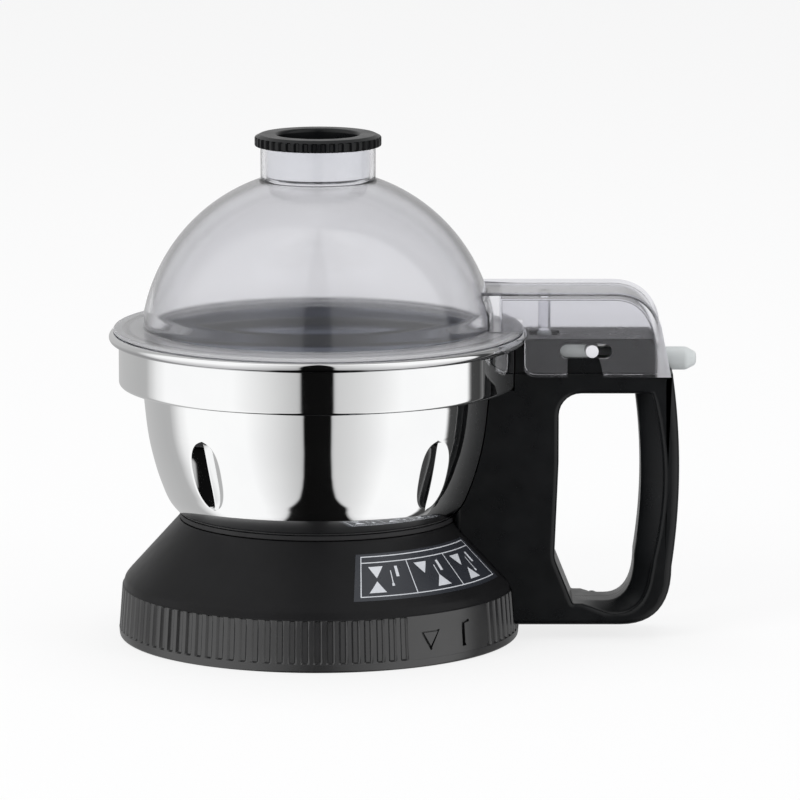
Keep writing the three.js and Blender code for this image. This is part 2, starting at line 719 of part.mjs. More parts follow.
// Slot of the arm, with room round the pin and beyond its travel at both ends
function armSlot(fromY, toY) {
  const radius = pinRadius + slotRoom;
  const low = pinX - pushTravel - slotEndRoom - radius;
  const high = pinX + lockTravel + slotEndRoom + radius;
  const [foot, top] = [pinZ - radius, pinZ + radius];
  const shape = new THREE.Shape();
  shape.moveTo(low + slotCorner, foot);
  shape.lineTo(high - slotCorner, foot);
  shape.quadraticCurveTo(high, foot, high, foot + slotCorner);
  shape.lineTo(high, top - slotCorner);
  shape.quadraticCurveTo(high, top, high - slotCorner, top);
  shape.lineTo(low + slotCorner, top);
  shape.quadraticCurveTo(low, top, low, top - slotCorner);
  shape.lineTo(low, foot + slotCorner);
  shape.quadraticCurveTo(low, foot, low + slotCorner, foot);
  return plateXZ(shape, fromY, toY);
}

// Mouth under the slot through which the pin leaves the arm as the lid lifts
function pinMouth(fromY, toY) {
  const shape = new THREE.Shape();
  const ledgeX = pinX + pinRadius + slotRoom;
  shape.moveTo(armNotchX, armSkirtZ - cutOverrun);
  shape.lineTo(armNotchX, pinZ - pinRadius);
  shape.quadraticCurveTo(armNotchX, pinZ, armNotchX + pinRadius, pinZ);
  shape.lineTo(ledgeX, pinZ);
  shape.lineTo(ledgeX, pinZ - pinRadius - slotRoom);
  shape.lineTo(armNotchSlantX, armSkirtZ);
  shape.lineTo(armNotchSlantX, armSkirtZ - cutOverrun);
  return plateXZ(shape, fromY, toY);
}

function lidArm() {
  const outline = new THREE.Shape();
  outline.moveTo(armStartX, flangeTopZ - cutOverrun);
  outline.lineTo(armStartX, armTopZ);
  armEnd(outline, 0, armSkirtZ);
  outline.lineTo(armSkirtX + armSkirtCorner, armSkirtZ);
  outline.quadraticCurveTo(armSkirtX, armSkirtZ, armSkirtX, armSkirtZ + armSkirtCorner);
  outline.lineTo(armSkirtX, flangeTopZ - cutOverrun);
  const cavity = new THREE.Shape();
  cavity.moveTo(armCavityX, armSkirtZ - cutOverrun);
  cavity.lineTo(armCavityX, armTopZ - armWall);
  armEnd(cavity, armWall, armSkirtZ - cutOverrun);
  const inside = armHalfWidth - armWall;
  const post = cylinder(postRadius, postFootZ, armTopZ - gap).translate([postX, 0, 0]);
  const dome = turned([[0, flangeTopZ - cutOverrun * 2], ...lidLine(gap), [0, neckTopZ]]);
  const bead = turned([[0, armSkirtZ - cutOverrun], [rimRadius + gap, armSkirtZ - cutOverrun],
    [rimRadius + gap, flangeTopZ], [0, flangeTopZ]]);
  const knobMouth = block([armFootX - armWall * 3, -knobMouthHalfWidth, armSkirtZ - cutOverrun],
    [armFootX + cutOverrun, knobMouthHalfWidth, knobZ + knobRadius + knobMouthRoom]);
  const shell = cut(plateXZ(outline, -armHalfWidth, armHalfWidth), plateXZ(cavity, -inside, inside));
  const slotHalf = armHalfWidth + cutOverrun;
  const slot = armSlot(-slotHalf, slotHalf);
  const mouths = [
    pinMouth(-armHalfWidth - cutOverrun, -inside + cutOverrun / 2),
    pinMouth(inside - cutOverrun / 2, armHalfWidth + cutOverrun),
  ];
  return cut(shell.add(post), dome, bead, knobMouth, slot, ...mouths);
}

// Outer line of the handle's wide part in the X-Z plane, drawn in by a distance
function handleOutline(inset, topZ) {
  const shape = new THREE.Shape();
  const foot = handleFootZ + inset;
  const bulge = 2 * gripBulgeX - (gripFootX + gripTopX) / 2 - inset;
  shape.moveTo(handleStartX, foot);
  shape.lineTo(gripCornerX, foot);
  shape.quadraticCurveTo(gripFootX - inset, foot, gripFootX - inset, gripFootZ);
  shape.quadraticCurveTo(bulge, (gripFootZ + armSkirtZ) / 2, gripTopX - inset, topZ);
  shape.lineTo(handleStartX, topZ);
  return shape;
}

// Finger hole, grown by a distance
function fingerHole(grow) {
  const hole = new THREE.Shape();
  const [left, top, right] = [fingerLeftX - grow, fingerTopZ + grow, fingerRightTopX + grow];
  const floor = fingerFloorZ - grow;
  hole.moveTo(left + fingerCorner, top);
  hole.quadraticCurveTo(left, top, left, top - fingerCorner);
  hole.lineTo(fingerWaistX - grow, fingerWaistZ);
  hole.lineTo(fingerFloorLeftX - grow, floor);
  hole.lineTo(fingerFloorRightX, floor);
  hole.quadraticCurveTo(fingerRightFootX + grow, floor, fingerRightFootX + grow, fingerRightFootZ);
  hole.quadraticCurveTo(2 * fingerRightBulgeX - (fingerRightFootX + fingerRightTopX) / 2 + grow,
    (fingerRightFootZ + fingerTopZ) / 2, right, top - fingerSmallCorner);
  hole.lineTo(right - fingerSmallCorner, top);
  return hole;
}

// Flare that thins the grip's inner side towards its side face
function gripFlare(side) {
  const wedge = new THREE.Shape();
  const start = fingerRightTopX - gripFlareReach;
  const face = side * (handleHalfWidth + gap);
  wedge.moveTo(start, side * (handleHalfWidth - gripFlareDepth));
  wedge.lineTo(fingerRightTopX, side * (handleHalfWidth - gripFlareDepth));
  wedge.lineTo(fingerRightTopX + gripFlareReach, face);
  wedge.lineTo(start, face);
  const options = { depth: fingerTopZ - fingerRightFootZ, bevelEnabled: false };
  return solidOf(new THREE.ExtrudeGeometry(wedge, options).translate(0, 0, fingerRightFootZ));
}

// Narrow top of the handle that fits inside the lid's arm
function handleCore(fromY, toY) {
  const core = new THREE.Shape();
  const inset = armWall + coreClearance;
  const slope = (armFootX - armShoulderX) / (armShoulderZ - armSkirtZ);
  const foot = fingerTopZ + handleWall;
  core.moveTo(handleStartX, foot);
  core.lineTo(armFootX - inset, foot);
  core.lineTo(armFootX - inset, armSkirtZ);
  core.lineTo(armFootX - inset - slope * (coreTopZ - armSkirtZ), coreTopZ);
  core.lineTo(handleStartX, coreTopZ);
  return plateXZ(core, fromY, toY);
}

// Boss and hole of one screw through the handle's halves
const bossFor = ([x, z], fromY, toY) => cylinderY(bossRadius, fromY, toY, x, z, smallSides / 2);
const holeFor = ([x, z], fromY, toY) => cylinderY(screwRadius + gap, fromY, toY, x, z, smallSides / 2);

// Curved strap that follows the bowl at a distance, grown at its edges
function bracketWall(distance, thickness, grow) {
  const window = block([0, -bracketHalfWidth - grow, bracketFootZ - grow],
    [bandRadius, bracketHalfWidth + grow, bracketTopZ + grow]);
  return cut(jarRoom(distance + thickness), jarRoom(distance)).intersect(window);
}

const headSeatX = fingerLeftX - handleWall - gap;

// Half shell of the handle; side is -1 for the front and 1 for the back
function handleHalf(side) {
  const span = (near, far) => (side < 0 ? [-far, -near] : [near, far]);
  const seam = gap / 2;
  const coreHalf = armHalfWidth - armWall - coreClearance;
  const outline = handleOutline(0, armSkirtZ - handleShoulderGap);
  const solid = add(plateXZ(outline, ...span(seam, handleHalfWidth)), handleCore(...span(seam, coreHalf)));
  const pocket = cut(
    plateXZ(handleOutline(handleWall, pocketTopZ), ...span(-cutOverrun, handleHalfWidth - handleWall)),
    plateXZ(fingerHole(handleWall), ...span(-cutOverrun * 2, handleHalfWidth + cutOverrun)),
    gripFlareWall(side), jarRoom(gap + bracketThickness + gap + handleWall));
  const places = Object.values(handleScrewPlaces);
  const bosses = places.map((place) => bossFor(place, ...span(seam, handleHalfWidth - handleWall / 2)));
  const screwY = side * sideScrewY;
  const sideBosses = [
    cylinderX(bossRadius + gap, bowlRadius, fingerLeftX - handleWall / 2, screwY, bracketScrewZ),
    cylinderX(bossRadius, baseLipRadius, baseLipRadius + baseScrewReach + handleWall, screwY, baseScrewZ),
  ];
  const cavityFrom = pinX - sliderBlockLength / 2 - sliderCheekLength - pushTravel - gap;
  const cavityTo = pinX + sliderBlockLength / 2 + lockTravel + gap;
  const holeSpan = side < 0 ? [-screwDepth, cutOverrun] : [-cutOverrun, handleHalfWidth + cutOverrun];
  const rodHole = cylinder(rodRadius + gap, -cutOverrun, coreTopZ + cutOverrun).translate([postX, 0, 0]);
  const tools = [
    plateXZ(fingerHole(0), ...span(-cutOverrun, handleHalfWidth + cutOverrun)),
    gripFlare(side),
    block([cavityFrom, -cavityHalfWidth, pinZ - sliderBlockHalfHeight - gap],
      [cavityTo, cavityHalfWidth, pinZ + sliderBlockHalfHeight + gap]),
    cylinderX(knobRadius + gap, cavityFrom + rodPocketReach, knobTipX, 0, knobZ),
    pinSlot(gap, ...span(0, coreHalf + cutOverrun)),
    block([postX - rodPocketReach, -rodPocketReach, coreTopZ - rodPocketDepth],
      [postX + rodPocketReach, rodPocketReach, coreTopZ + cutOverrun]),
    rodHole,
    jarRoom(gap),
    bracketWall(0, gap + bracketThickness + gap, gap),
    cylinderX(screwRadius + gap, 0, fingerLeftX, screwY, bracketScrewZ),
    cylinderX(screwHeadRadius + gap, headSeatX, fingerLeftX + cutOverrun, screwY, bracketScrewZ),
    cylinderX(screwRadius + gap, 0, baseLipRadius + baseScrewReach, screwY, baseScrewZ),
    ...places.map((place) => holeFor(place, ...holeSpan)),
  ];
  if (side > 0) {
    tools.push(...places.map(([x, z]) => cylinderY(
      screwHeadRadius + gap, handleHalfWidth - screwHeadHeight - gap, handleHalfWidth + cutOverrun, x, z)));
  }
  const hollowed = cut(solid, pocket).add(add(...bosses, ...sideBosses).intersect(solid));
  return cut(hollowed, ...tools);
}

// Wall that the pocket leaves behind the grip's flare
function gripFlareWall(side) {
  const low = fingerRightTopX - gripFlareReach;
  const high = fingerRightTopX + gripFlareReach / 2 + handleWall;
  const depth = handleHalfWidth - gripFlareDepth - handleWall;
  const [nearY, farY] = side < 0 ? [-handleHalfWidth, -depth] : [depth, handleHalfWidth];
  return block([low, nearY, fingerRightFootZ - handleWall], [high, farY, pocketTopZ]);
}

// Pan-head screw with its head towards +Y
function handleScrew([x, z]) {
  const seat = handleHalfWidth - screwHeadHeight;
  return add(
    cylinderY(screwRadius, -screwDepth + gap, seat, x, z, smallSides / 2),
    cylinderY(screwHeadRadius, seat, seat + screwHeadHeight - gap, x, z));
}

// Pan-head screw along X, head at the given end
const screwAlongX = (tipX, seatX, headX, y, z) => add(
  cylinderX(screwRadius, Math.min(tipX, seatX), Math.max(tipX, seatX), y, z, smallSides / 2),
  cylinderX(screwHeadRadius, Math.min(seatX, headX), Math.max(seatX, headX), y, z));

function bracket() {
  const hole = (y) => cylinderX(screwRadius + gap, 0, bandRadius, y, bracketScrewZ);
  return cut(bracketWall(gap, bracketThickness, 0), hole(-sideScrewY), hole(sideScrewY));
}

// Screw through the handle's column into the bracket
function bracketScrew(y) {
  const bowlX = Math.sqrt(bowlRadiusAt(bracketScrewZ) ** 2 - (sideScrewY + screwRadius) ** 2);
  const seatX = headSeatX + gap;
  return screwAlongX(bowlX + 2 * gap + bowlWall, seatX, seatX + screwHeadHeight, y, bracketScrewZ);
}

// Screw from inside the skirt into the handle's foot
function baseScrew(y) {
  const wallRadius = ribTopRadius - baseWall - ribDepth;
  const wallX = Math.sqrt(wallRadius ** 2 - (sideScrewY + screwHeadRadius) ** 2) - gap;
  return screwAlongX(baseLipRadius + baseScrewReach - gap, wallX, wallX - screwHeadHeight, y, baseScrewZ);
}

// Slider: knob rod, block that carries the cross pin, and two cheeks beside the interlock rod
function slider() {
  const blockFrom = pinX - sliderBlockLength / 2;
  const halfWidth = cavityHalfWidth - gap;
  const low = pinZ - sliderBlockHalfHeight;
  const high = pinZ + sliderBlockHalfHeight;
  const rod = new THREE.LatheGeometry([
    new THREE.Vector2(0, blockFrom), new THREE.Vector2(knobRadius, blockFrom),
    ...knobTipShares.map(([r, x]) => new THREE.Vector2(
      knobRadius + r * knobTipRound, knobTipX + x * knobTipRound)),
    new THREE.Vector2(0, knobTipX),
  ], smallSides);
  const knob = solidOf(rod.rotateZ(degrees(-90)).translate(0, 0, knobZ));
  const body = block([blockFrom, -halfWidth, low], [blockFrom + sliderBlockLength, halfWidth, high]);
  const cheek = (fromY) => block(
    [blockFrom - sliderCheekLength, fromY, low], [blockFrom + gap, fromY + sliderCheekThickness, high]);
  const pinHole = cylinderY(pinRadius + gap, -armHalfWidth, armHalfWidth, pinX, pinZ);
  return cut(add(knob, body, cheek(-halfWidth), cheek(halfWidth - sliderCheekThickness)), pinHole);
}

const crossPin = () => cylinderY(pinRadius, pinEndGap - armHalfWidth, armHalfWidth - pinEndGap, pinX, pinZ);

function interlockRod() {
  const top = postFootZ - gap;
  const rod = cylinder(rodRadius, rodFootZ, top);
  return rod.add(cylinder(collarRadius, springTopZ, springTopZ + collarHeight)).translate([postX, 0, 0]);
}

// Helix of the interlock spring, from its foot to its top
class SpringLine extends THREE.Curve {
  getPoint(share, target = new THREE.Vector3()) {
    const foot = handleFootZ + handleWall + springWire + gap;
    const top = springTopZ - springWire - gap;
    const angle = share * springTurns * degrees(360);
    const [x, y] = [postX + springRadius * Math.cos(angle), springRadius * Math.sin(angle)];
    return target.set(x, y, foot + share * (top - foot));
  }
}

function interlockSpring() {
  const wire = new THREE.Shape();
  for (let i = 0; i < springWireSides; i += 1) {
    const angle = (i * degrees(360)) / springWireSides;
    wire.lineTo(springWire * Math.cos(angle), springWire * Math.sin(angle));
  }
  wire.curves.shift();
  return solidOf(new THREE.ExtrudeGeometry(wire, {
    extrudePath: new SpringLine(), steps: springTurns * springStepsPerTurn, bevelEnabled: false }));
}

const materials = {
  clear: { color: 0xdfe4e6, roughness: 0.08, metalness: 0, transparent: true, opacity: 0.35 },
  steel: { color: 0xd2d4d6, roughness: 0.12, metalness: 1 },
  black: { color: 0x15171a, roughness: 0.38, metalness: 0 },
  grey: { color: 0xcfd1d3, roughness: 0.45, metalness: 0 },
  rubber: { color: 0x101113, roughness: 0.8, metalness: 0 },
  seal: { color: 0xe3e4e2, roughness: 0.6, metalness: 0 },
  alloy: { color: 0xb9bcbf, roughness: 0.35, metalness: 1 },
  bronze: { color: 0xa9824c, roughness: 0.45, metalness: 1 },
};

const assembly = new THREE.Group();

// Adds one piece to the assembly as a named mesh
function piece(name, finish, solid) {
  const { vertProperties, triVerts } = solid.getMesh();
  const geometry = new THREE.BufferGeometry();
  geometry.setAttribute('position', new THREE.BufferAttribute(new Float32Array(vertProperties), 3));
  geometry.setIndex(new THREE.BufferAttribute(new Uint32Array(triVerts), 1));
  const mesh = new THREE.Mesh(geometry, new THREE.MeshStandardMaterial(materials[finish]));
  mesh.name = name;
  assembly.add(mesh);
}

piece('jar_bowl', 'steel', bowl());
piece('handle_bracket', 'steel', bracket());
piece('base_housing', 'black', base());
piece('bowl_seat_ring', 'rubber', seatRing());
piece('handle_front_half', 'black', handleHalf(-1));
piece('handle_back_half', 'black', handleHalf(1));
for (const [name, place] of Object.entries(handleScrewPlaces)) {
  piece(`handle_screw_${name}`, 'alloy', handleScrew(place));
}
for (const [name, y] of [['front', -sideScrewY], ['back', sideScrewY]]) {
  piece(`bracket_screw_${name}`, 'alloy', bracketScrew(y));
  piece(`base_screw_${name}`, 'alloy', baseScrew(y));
}
piece('bearing_housing', 'alloy', housing());
piece('housing_seal', 'rubber', washer(housingRadius, flangeRadius - gap, flangeSealZ, flangeSealThickness));
piece('housing_washer', 'alloy', washer(housingRadius, nutRadius, nutTopZ + gap, washerThickness));
piece('housing_nut', 'alloy', housingNut());
piece('upper_bush', 'bronze', washer(shaftRadius, bushRadius, shaftSealZ - gap - bushLength, bushLength));
piece('lower_bush', 'bronze', washer(shaftRadius, bushRadius, housingFootZ, bushLength));
piece('shaft_seal', 'rubber', washer(shaftRadius, shaftSealRadius, shaftSealZ, shaftSealHeight));
piece('drive_shaft', 'steel', cylinder(shaftRadius, shaftFootZ, shaftTopZ));
piece('thrust_washer', 'alloy', washer(shaftRadius, clipRadius, thrustWasherZ, washerThickness));
piece('shaft_clip', 'steel', washer(shaftRadius, clipRadius, clipZ, washerThickness));
piece('drive_coupler', 'rubber', coupler());
piece('blade_spacer', 'steel', washer(shaftRadius, spacerRadius, spacerZ, spacerHeight));
piece('lower_blade', 'steel', blade(lowerBladeZ, lowerBladeRise, 0));
piece('upper_blade', 'steel', blade(upperBladeZ, upperBladeRise, 90));
piece('blade_washer', 'steel', washer(shaftRadius, spacerRadius, bladeWasherZ, washerThickness));
piece('blade_nut', 'steel', bladeNut());
piece('lid_dome', 'clear', lidDome());
piece('lid_arm', 'clear', lidArm());
piece('lid_gasket', 'seal', lidGasket());
piece('cap_stopper', 'black', capRing());
piece('cap_cup', 'steel', capCup());
piece('lock_slider', 'grey', slider());
piece('lock_pin', 'seal', crossPin());
piece('interlock_rod', 'grey', interlockRod());
piece('interlock_spring', 'steel', interlockSpring());

export default assembly;
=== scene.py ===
# Looks of a mixer grinder jar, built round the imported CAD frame. Lengths are in millimetres until a mesh
# is made, +X towards the handle, -Y towards the camera, +Z up. Tools for cuts reach past what they cut, to
# round numbers that mean nothing more.
import functools
import json
import math

import bmesh
import bpy
from mathutils import Matrix, Vector


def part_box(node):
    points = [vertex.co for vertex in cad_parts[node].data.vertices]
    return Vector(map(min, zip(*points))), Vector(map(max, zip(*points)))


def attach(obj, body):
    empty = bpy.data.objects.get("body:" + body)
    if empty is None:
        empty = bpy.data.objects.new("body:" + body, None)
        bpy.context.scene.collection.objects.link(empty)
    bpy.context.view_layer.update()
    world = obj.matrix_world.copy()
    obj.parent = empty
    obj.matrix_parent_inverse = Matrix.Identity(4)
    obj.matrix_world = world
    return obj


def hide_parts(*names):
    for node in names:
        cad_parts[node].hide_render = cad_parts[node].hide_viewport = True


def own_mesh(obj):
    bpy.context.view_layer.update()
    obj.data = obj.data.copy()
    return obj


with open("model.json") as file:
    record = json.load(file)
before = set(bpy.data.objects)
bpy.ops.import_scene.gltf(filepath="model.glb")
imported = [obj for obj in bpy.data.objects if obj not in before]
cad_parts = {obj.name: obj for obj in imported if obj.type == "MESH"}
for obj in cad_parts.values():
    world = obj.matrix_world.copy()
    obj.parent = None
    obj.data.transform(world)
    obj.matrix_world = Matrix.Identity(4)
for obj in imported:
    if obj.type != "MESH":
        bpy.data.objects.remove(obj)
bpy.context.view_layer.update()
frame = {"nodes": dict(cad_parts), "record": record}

MM = 0.001
TURN = 2 * math.pi
GAP = 0.3
MERGE_WITHIN = 1e-4

# Camera of the photograph: a long lens, square to the handle and looking a little down
VIEW_CENTRE = (35, 0, 101.8)
VIEW_DISTANCE = 2700
VIEW_PITCH = 9.6
LENS = 282.6
SENSOR = 36

# Bowl
BOWL_RADIUS = 75.6
BOWL_FLOOR_Z = 44
# Shares of the radius and of the height from the floor to the step
BOWL_CURVE_SHARES = [
    (0.45, 0), (0.61, 0.031), (0.735, 0.1), (0.839, 0.214), (0.893, 0.345), (0.938, 0.51), (0.972, 0.7),
    (1, 1),
]
BAND_STEP_Z = 109.3
BAND_RADIUS = 85.7
BEAD_RADIUS = 2.1
BEAD_Z = 130
BEAD_SWEEP = (212, 450)
BEAD_TUCK = BEAD_RADIUS * 0.55
RIM_RADIUS = BAND_RADIUS + 2 * BEAD_RADIUS
RIM_TOP_Z = BEAD_Z + BEAD_RADIUS
SHEET = 1
BREAKER_Z = 78
BREAKER_HEIGHT = 30
BREAKER_WIDTH = 16.4
BREAKER_FULLNESS = 2.6
BREAKER_HAIR = 0.02
BREAKER_ROOM = 2.2
BREAKER_RANGE = (BOWL_FLOOR_Z + 6, BAND_STEP_Z - 2)
# Angle of each flow breaker from +X, where its valley lies between its edges, and its depth
BREAKERS = [(-131, -0.35, 5), (-46.3, 0.15, 1.7), (49, -0.35, 5), (133.7, 0.15, 1.7)]

# Base; valleys are given as shares of a pitch: start, end and width of a flank
LIP_RADIUS = 86.3
LIP_HEIGHT = 3.8
LIP_FOOT_RADIUS = 83.2
RIB_FOOT_RADIUS = 86.2
RIB_TOP_RADIUS = 84.8
RIB_TOP_Z = 22.1
RIB_DEPTH = 0.95
RIB_COUNT = 100
RIB_VALLEY = (0.38, 0.98, 0.12)
RIB_ROWS = [0, 0.03, 0.2, 0.4, 0.6, 0.8, 0.97, 1]
FADE = 0.5
SHOULDER_START = (83.6, 25.2, 4)
SHOULDER_RADIUS = 82
SHOULDER_Z = 27.2
CONE_TOP_RADIUS = 60.8
CONE_TOP_Z = 50.6
COLLAR_TOP_Z = 51.2
PANEL_FROM = -63.4
PANEL_TO = -34.5
MARK_DEPTH = 0.35
TRIANGLE_TURN = -56
TRIANGLE_TOP_Z = 15.4
HOOK_TURN = -43.5
HOOK_TOP_Z = 17.4
SEAT_RADIUS = 59.9
SEAT_TOP_Z = 53.5
BASE_SEAT_HEIGHTS = (49, 47, 45.5)
BASE_FLOOR = (36, 43.7)
BASE_INSIDE = [(46, 40.9), (55.6, 47.9), (78.1, 24.6), (81.3, 19.5), (82.6, 0)]
LUG_COUNT = 4
LUG_REACH = 6
LUG_DEPTH = 4.5
LUG_HALF = 8
LUG_Z = (2.2, 5.7)

# Lid
LID_WALL = 2.2
DOME_RADIUS = 76.3
DOME_CENTRE_Z = 125.5
DOME_FOOT_Z = 141
NECK_RADIUS = 24.6
NECK_TOP_Z = 211.83
NECK_BORE_Z = 197
FLANGE_RADIUS = 87.9
FLANGE_TOP_Z = 134.2
FLANGE_UNDER_Z = FLANGE_TOP_Z - 2.9
SPIGOT_RADIUS = 84
SPIGOT_WALL = 2.6
SPIGOT_FOOT_Z = 119.5
GROOVE_Z = 121.2
GROOVE_HEIGHT = 4
GROOVE_DEPTH = 1.3

# Arm of the lid
ARM_HALF = 20
ARM_START_X = 70
ARM_START_Z = 131
ARM_CAVITY_X = 78.6
ARM_TOP_Z = 149.9
ARM_SKIRT_Z = 116.5
ARM_SKIRT_X = 88.7
ARM_SKIRT_SLANT = 8
ARM_CROWN_X = 126.3
ARM_CROWN_HANDLE_X = 140.8
ARM_SHOULDER = (144.8, 136.5)
ARM_FOOT_X = 148.8
ARM_SLOPE = (ARM_FOOT_X - ARM_SHOULDER[0]) / (ARM_SHOULDER[1] - ARM_SKIRT_Z)
BELOW_SKIRT_Z = 112
POST_X = 96.9
POST_RADIUS = 2.6
POST_FOOT_Z = 132.3
SLOT_LEFT_X = 106.3
SLOT_RIGHT_X = 122.25
SLOT_RADIUS = 3.16
SLOT_Z = 126
MOUTH_X = 106.4
MOUTH_SLANT_X = 121.5
MOUTH_FOOT_Z = 113
LEDGE_X = 120
KNOB_MOUTH_X = 142.2
KNOB_MOUTH_HALF = 8
KNOB_MOUTH_ROOM = 1.5

# Handle
HANDLE_HALF = 18.6
HANDLE_FOOT_Z = 6.6
HANDLE_SHOULDER_Z = 116.2
HANDLE_START_X = 58
HANDLE_EASE = 3.2
SHOULDER_EASE = 0.7
CORE_TOP_Z = 131.2
CORE_HALF = 17.3
CORE_ROOM = 0.5
GRIP_TOP_X = 151.5
GRIP_BULGE_X = 154.6
GRIP_FOOT = (151.6, 32)
GRIP_CORNER_X = 129.5
HOLE_LEFT_X = 102.9
HOLE_TOP_Z = 107.4
HOLE_FLOOR_Z = 16
HOLE_WAIST = (101.2, 36)
HOLE_BEND = 30
HOLE_FLOOR_LEFT_X = 109.3
HOLE_FLOOR_RIGHT_X = 123
HOLE_RIGHT_TOP_X = 135.7
HOLE_RIGHT_BULGE_X = 138.4
HOLE_RIGHT_FOOT = (135.6, 36)
HOLE_EASE = 2.2
FLARE_START_Y = 9
FLARE_POWER = 1.15
FLARE_SIDEWAYS_Z = 60
FLARE_GRIP_X = 130
FLARE_GRIP_Z = 30
FLARE_GRIP = 7
FLARE_SWELL = 2.2
FLARE_FLOOR = 6.9
FLARE_FLOOR_X = (114, 132)
BRACKET_ROOM = 2 * GAP + 1.5
BRACKET_HALF = 14.3
BRACKET_Z = (65.7, 96.3)
ROD_POCKET_HALF = 6.5
ROD_POCKET_Z = 129
ROD_BORE = 5.2
ROD_TOP_CUT_Z = 140

# Screws: radii, and the places of the heads and tips along their axes
SCREW_RADIUS = 1.65
SCREW_TIP_RADIUS = 1.2
SCREW_ROOM = 2
HEAD_RADIUS = 3.2
HEAD_HEIGHT = 1.9
HEAD_TOP_RADIUS = 2.2
RECESS = (0.42, 1.9)
RECESS_DEPTH = 1.1
HANDLE_SCREWS = {
    "grip_top": (146.3, 97.4), "grip_foot": (142, 19.2), "foot": (118.3, 11.8), "column": (87.5, 101.4),
}
HANDLE_SCREW_Y = (18.3, -11.7)
BRACKET_SCREW_X = (102.4, 72.5)
BASE_SCREW_X = (77.9, 96.9)
PAIR_Y = 9
BRACKET_SCREW_Z = 80
BASE_SCREW_Z = 14
# Bores for the bracket's screws, their heads and the base's screws: radius, start and end in X, height
SCREW_BORES = [
    (SCREW_ROOM, 60, 103, BRACKET_SCREW_Z), (3.6, 100, 106, BRACKET_SCREW_Z),
    (SCREW_ROOM, 80, 97.3, BASE_SCREW_Z),
]
HEAD_ROOM = 3.7
HEAD_ROOM_Y = 16.1

# Lock slider and interlock
KNOB_RADIUS = 5
KNOB_Z = 120.1
KNOB_TIP_X = 162.1
KNOB_CHAMFER = (4.4, 2.4)
PIN_RADIUS = 2.8
PIN_X = 116.9
PIN_HALF = 19.8
SLIDE_IN = 9.8
SLIDE_OUT = 4.8
SLIDE_HALF = 14.3
SLIDE_Z = (122.5, 129.5)
SLIDE_BACK = 4.7
SLIDE_FRONT = 1.6
CHEEK_REACH = 9.4
CHEEK_INNER = 10.6
KNOB_BORE_START = 6.5
BAR_RADIUS = 3
BAR_Z = (6, 132)
COLLAR_RADIUS = 4.9
COLLAR_Z = (25, 26.8)
WIRE_RADIUS = 0.5
COIL_RADIUS = 4.1
COIL_TURNS = 6
COIL_STEPS = 36
COIL_SIDES = 10

# Cap
CAP_RADIUS = 27.1
CAP_FOOT_Z = NECK_TOP_Z + GAP
CAP_TOP_Z = CAP_FOOT_Z + 5
CAP_KNURLS = 44
KNURL_DEPTH = 1.1
KNURL_TOP_Z = CAP_TOP_Z - 1
KNURL_VALLEY = (0.36, 0.99, 0.1)
CAP_OPENING = 17.3
CAP_WELL_Z = (199.1, 200.7)
CAP_STEM_RADIUS = 20.9
CUP_RADIUS = 22
CUP_FOOT_Z = 198
CUP_WALL = 0.8

# Drive; an outline's rows are radius, height and corner, a pair of heights is foot and top, and a tooth has
# its inner and outer reach and half its width
SHAFT_RADIUS = 4
SHAFT_Z = (13.1, 69.3)
SHAFT_BORE = SHAFT_RADIUS + GAP
HOUSING_HOLE = 12.8
HOUSING_OUTLINE = [
    (6.3, 27, 0.3), (12.5, 27, 0.5), (12.5, 46.6), (19.5, 46.6, 0.5), (19.5, 49.4, 0.8), (10.1, 50, 3),
    (9.8, 58, 1), (7.9, 58, 0.2), (7.9, 54.3), (6.3, 54.3),
]
STACK_RADIUS = 7.5
SPACER_Z = (58.3, 60.9)
TOP_WASHER_Z = (65, 66)
BLADE_NUT_Z = (66.3, 72.3)
BLADE_NUT_RADIUS = 6.75
BLADE_NUT_HEX = 3.4
CROWN_RADII = (5.9, 5.2, 4.4)
CLAMP_NUT_RADIUS = 18.9
CLAMP_NUT_Z = (34.3, 39.3)
CLAMP_WASHER_RADIUS = 19
CLAMP_WASHER_Z = (39.6, 40.6)
COUPLER_Z = (10.1, 24.1)
COUPLER_RADIUS = 17
COUPLER_HUB = 9
COUPLER_TEETH = 6
TOOTH = (7, 16.8, 3.2)

# Blades; each has its node, its height, the rise of its wings and its turn
BLADES = {"blade_low": ("lower_blade", 61.2, -5, 0), "blade_high": ("upper_blade", 63.1, 11, 90)}
BLADE_SHEET = 1.6
BLADE_BEND = 18.5
BLADE_REACH = 41
BLADE_HALF = 8.5
BLADE_TAPER = 3
TIP_TAPER = 2.4
TIP_START = 0.75
BLADE_GROUND = 3.6
GROUND_RATE = 4
BLADE_EDGE = 0.35
EDGE_SLANT = 0.2
BLADE_STEPS = 14


def degrees(angle):
    return math.radians(angle)


# Camera first: it depends on nothing else
def make_camera():
    pitch = degrees(VIEW_PITCH)
    backwards = Vector((0, -math.cos(pitch), math.sin(pitch)))
    data = bpy.data.cameras.new("camera")
    data.lens = LENS
    data.sensor_width = SENSOR
    camera = bpy.data.objects.new("camera", data)
    camera.location = (Vector(VIEW_CENTRE) + backwards * VIEW_DISTANCE) * MM
    camera.rotation_euler = (math.pi / 2 - pitch, 0, 0)
    bpy.context.collection.objects.link(camera)
    bpy.context.scene.camera = camera


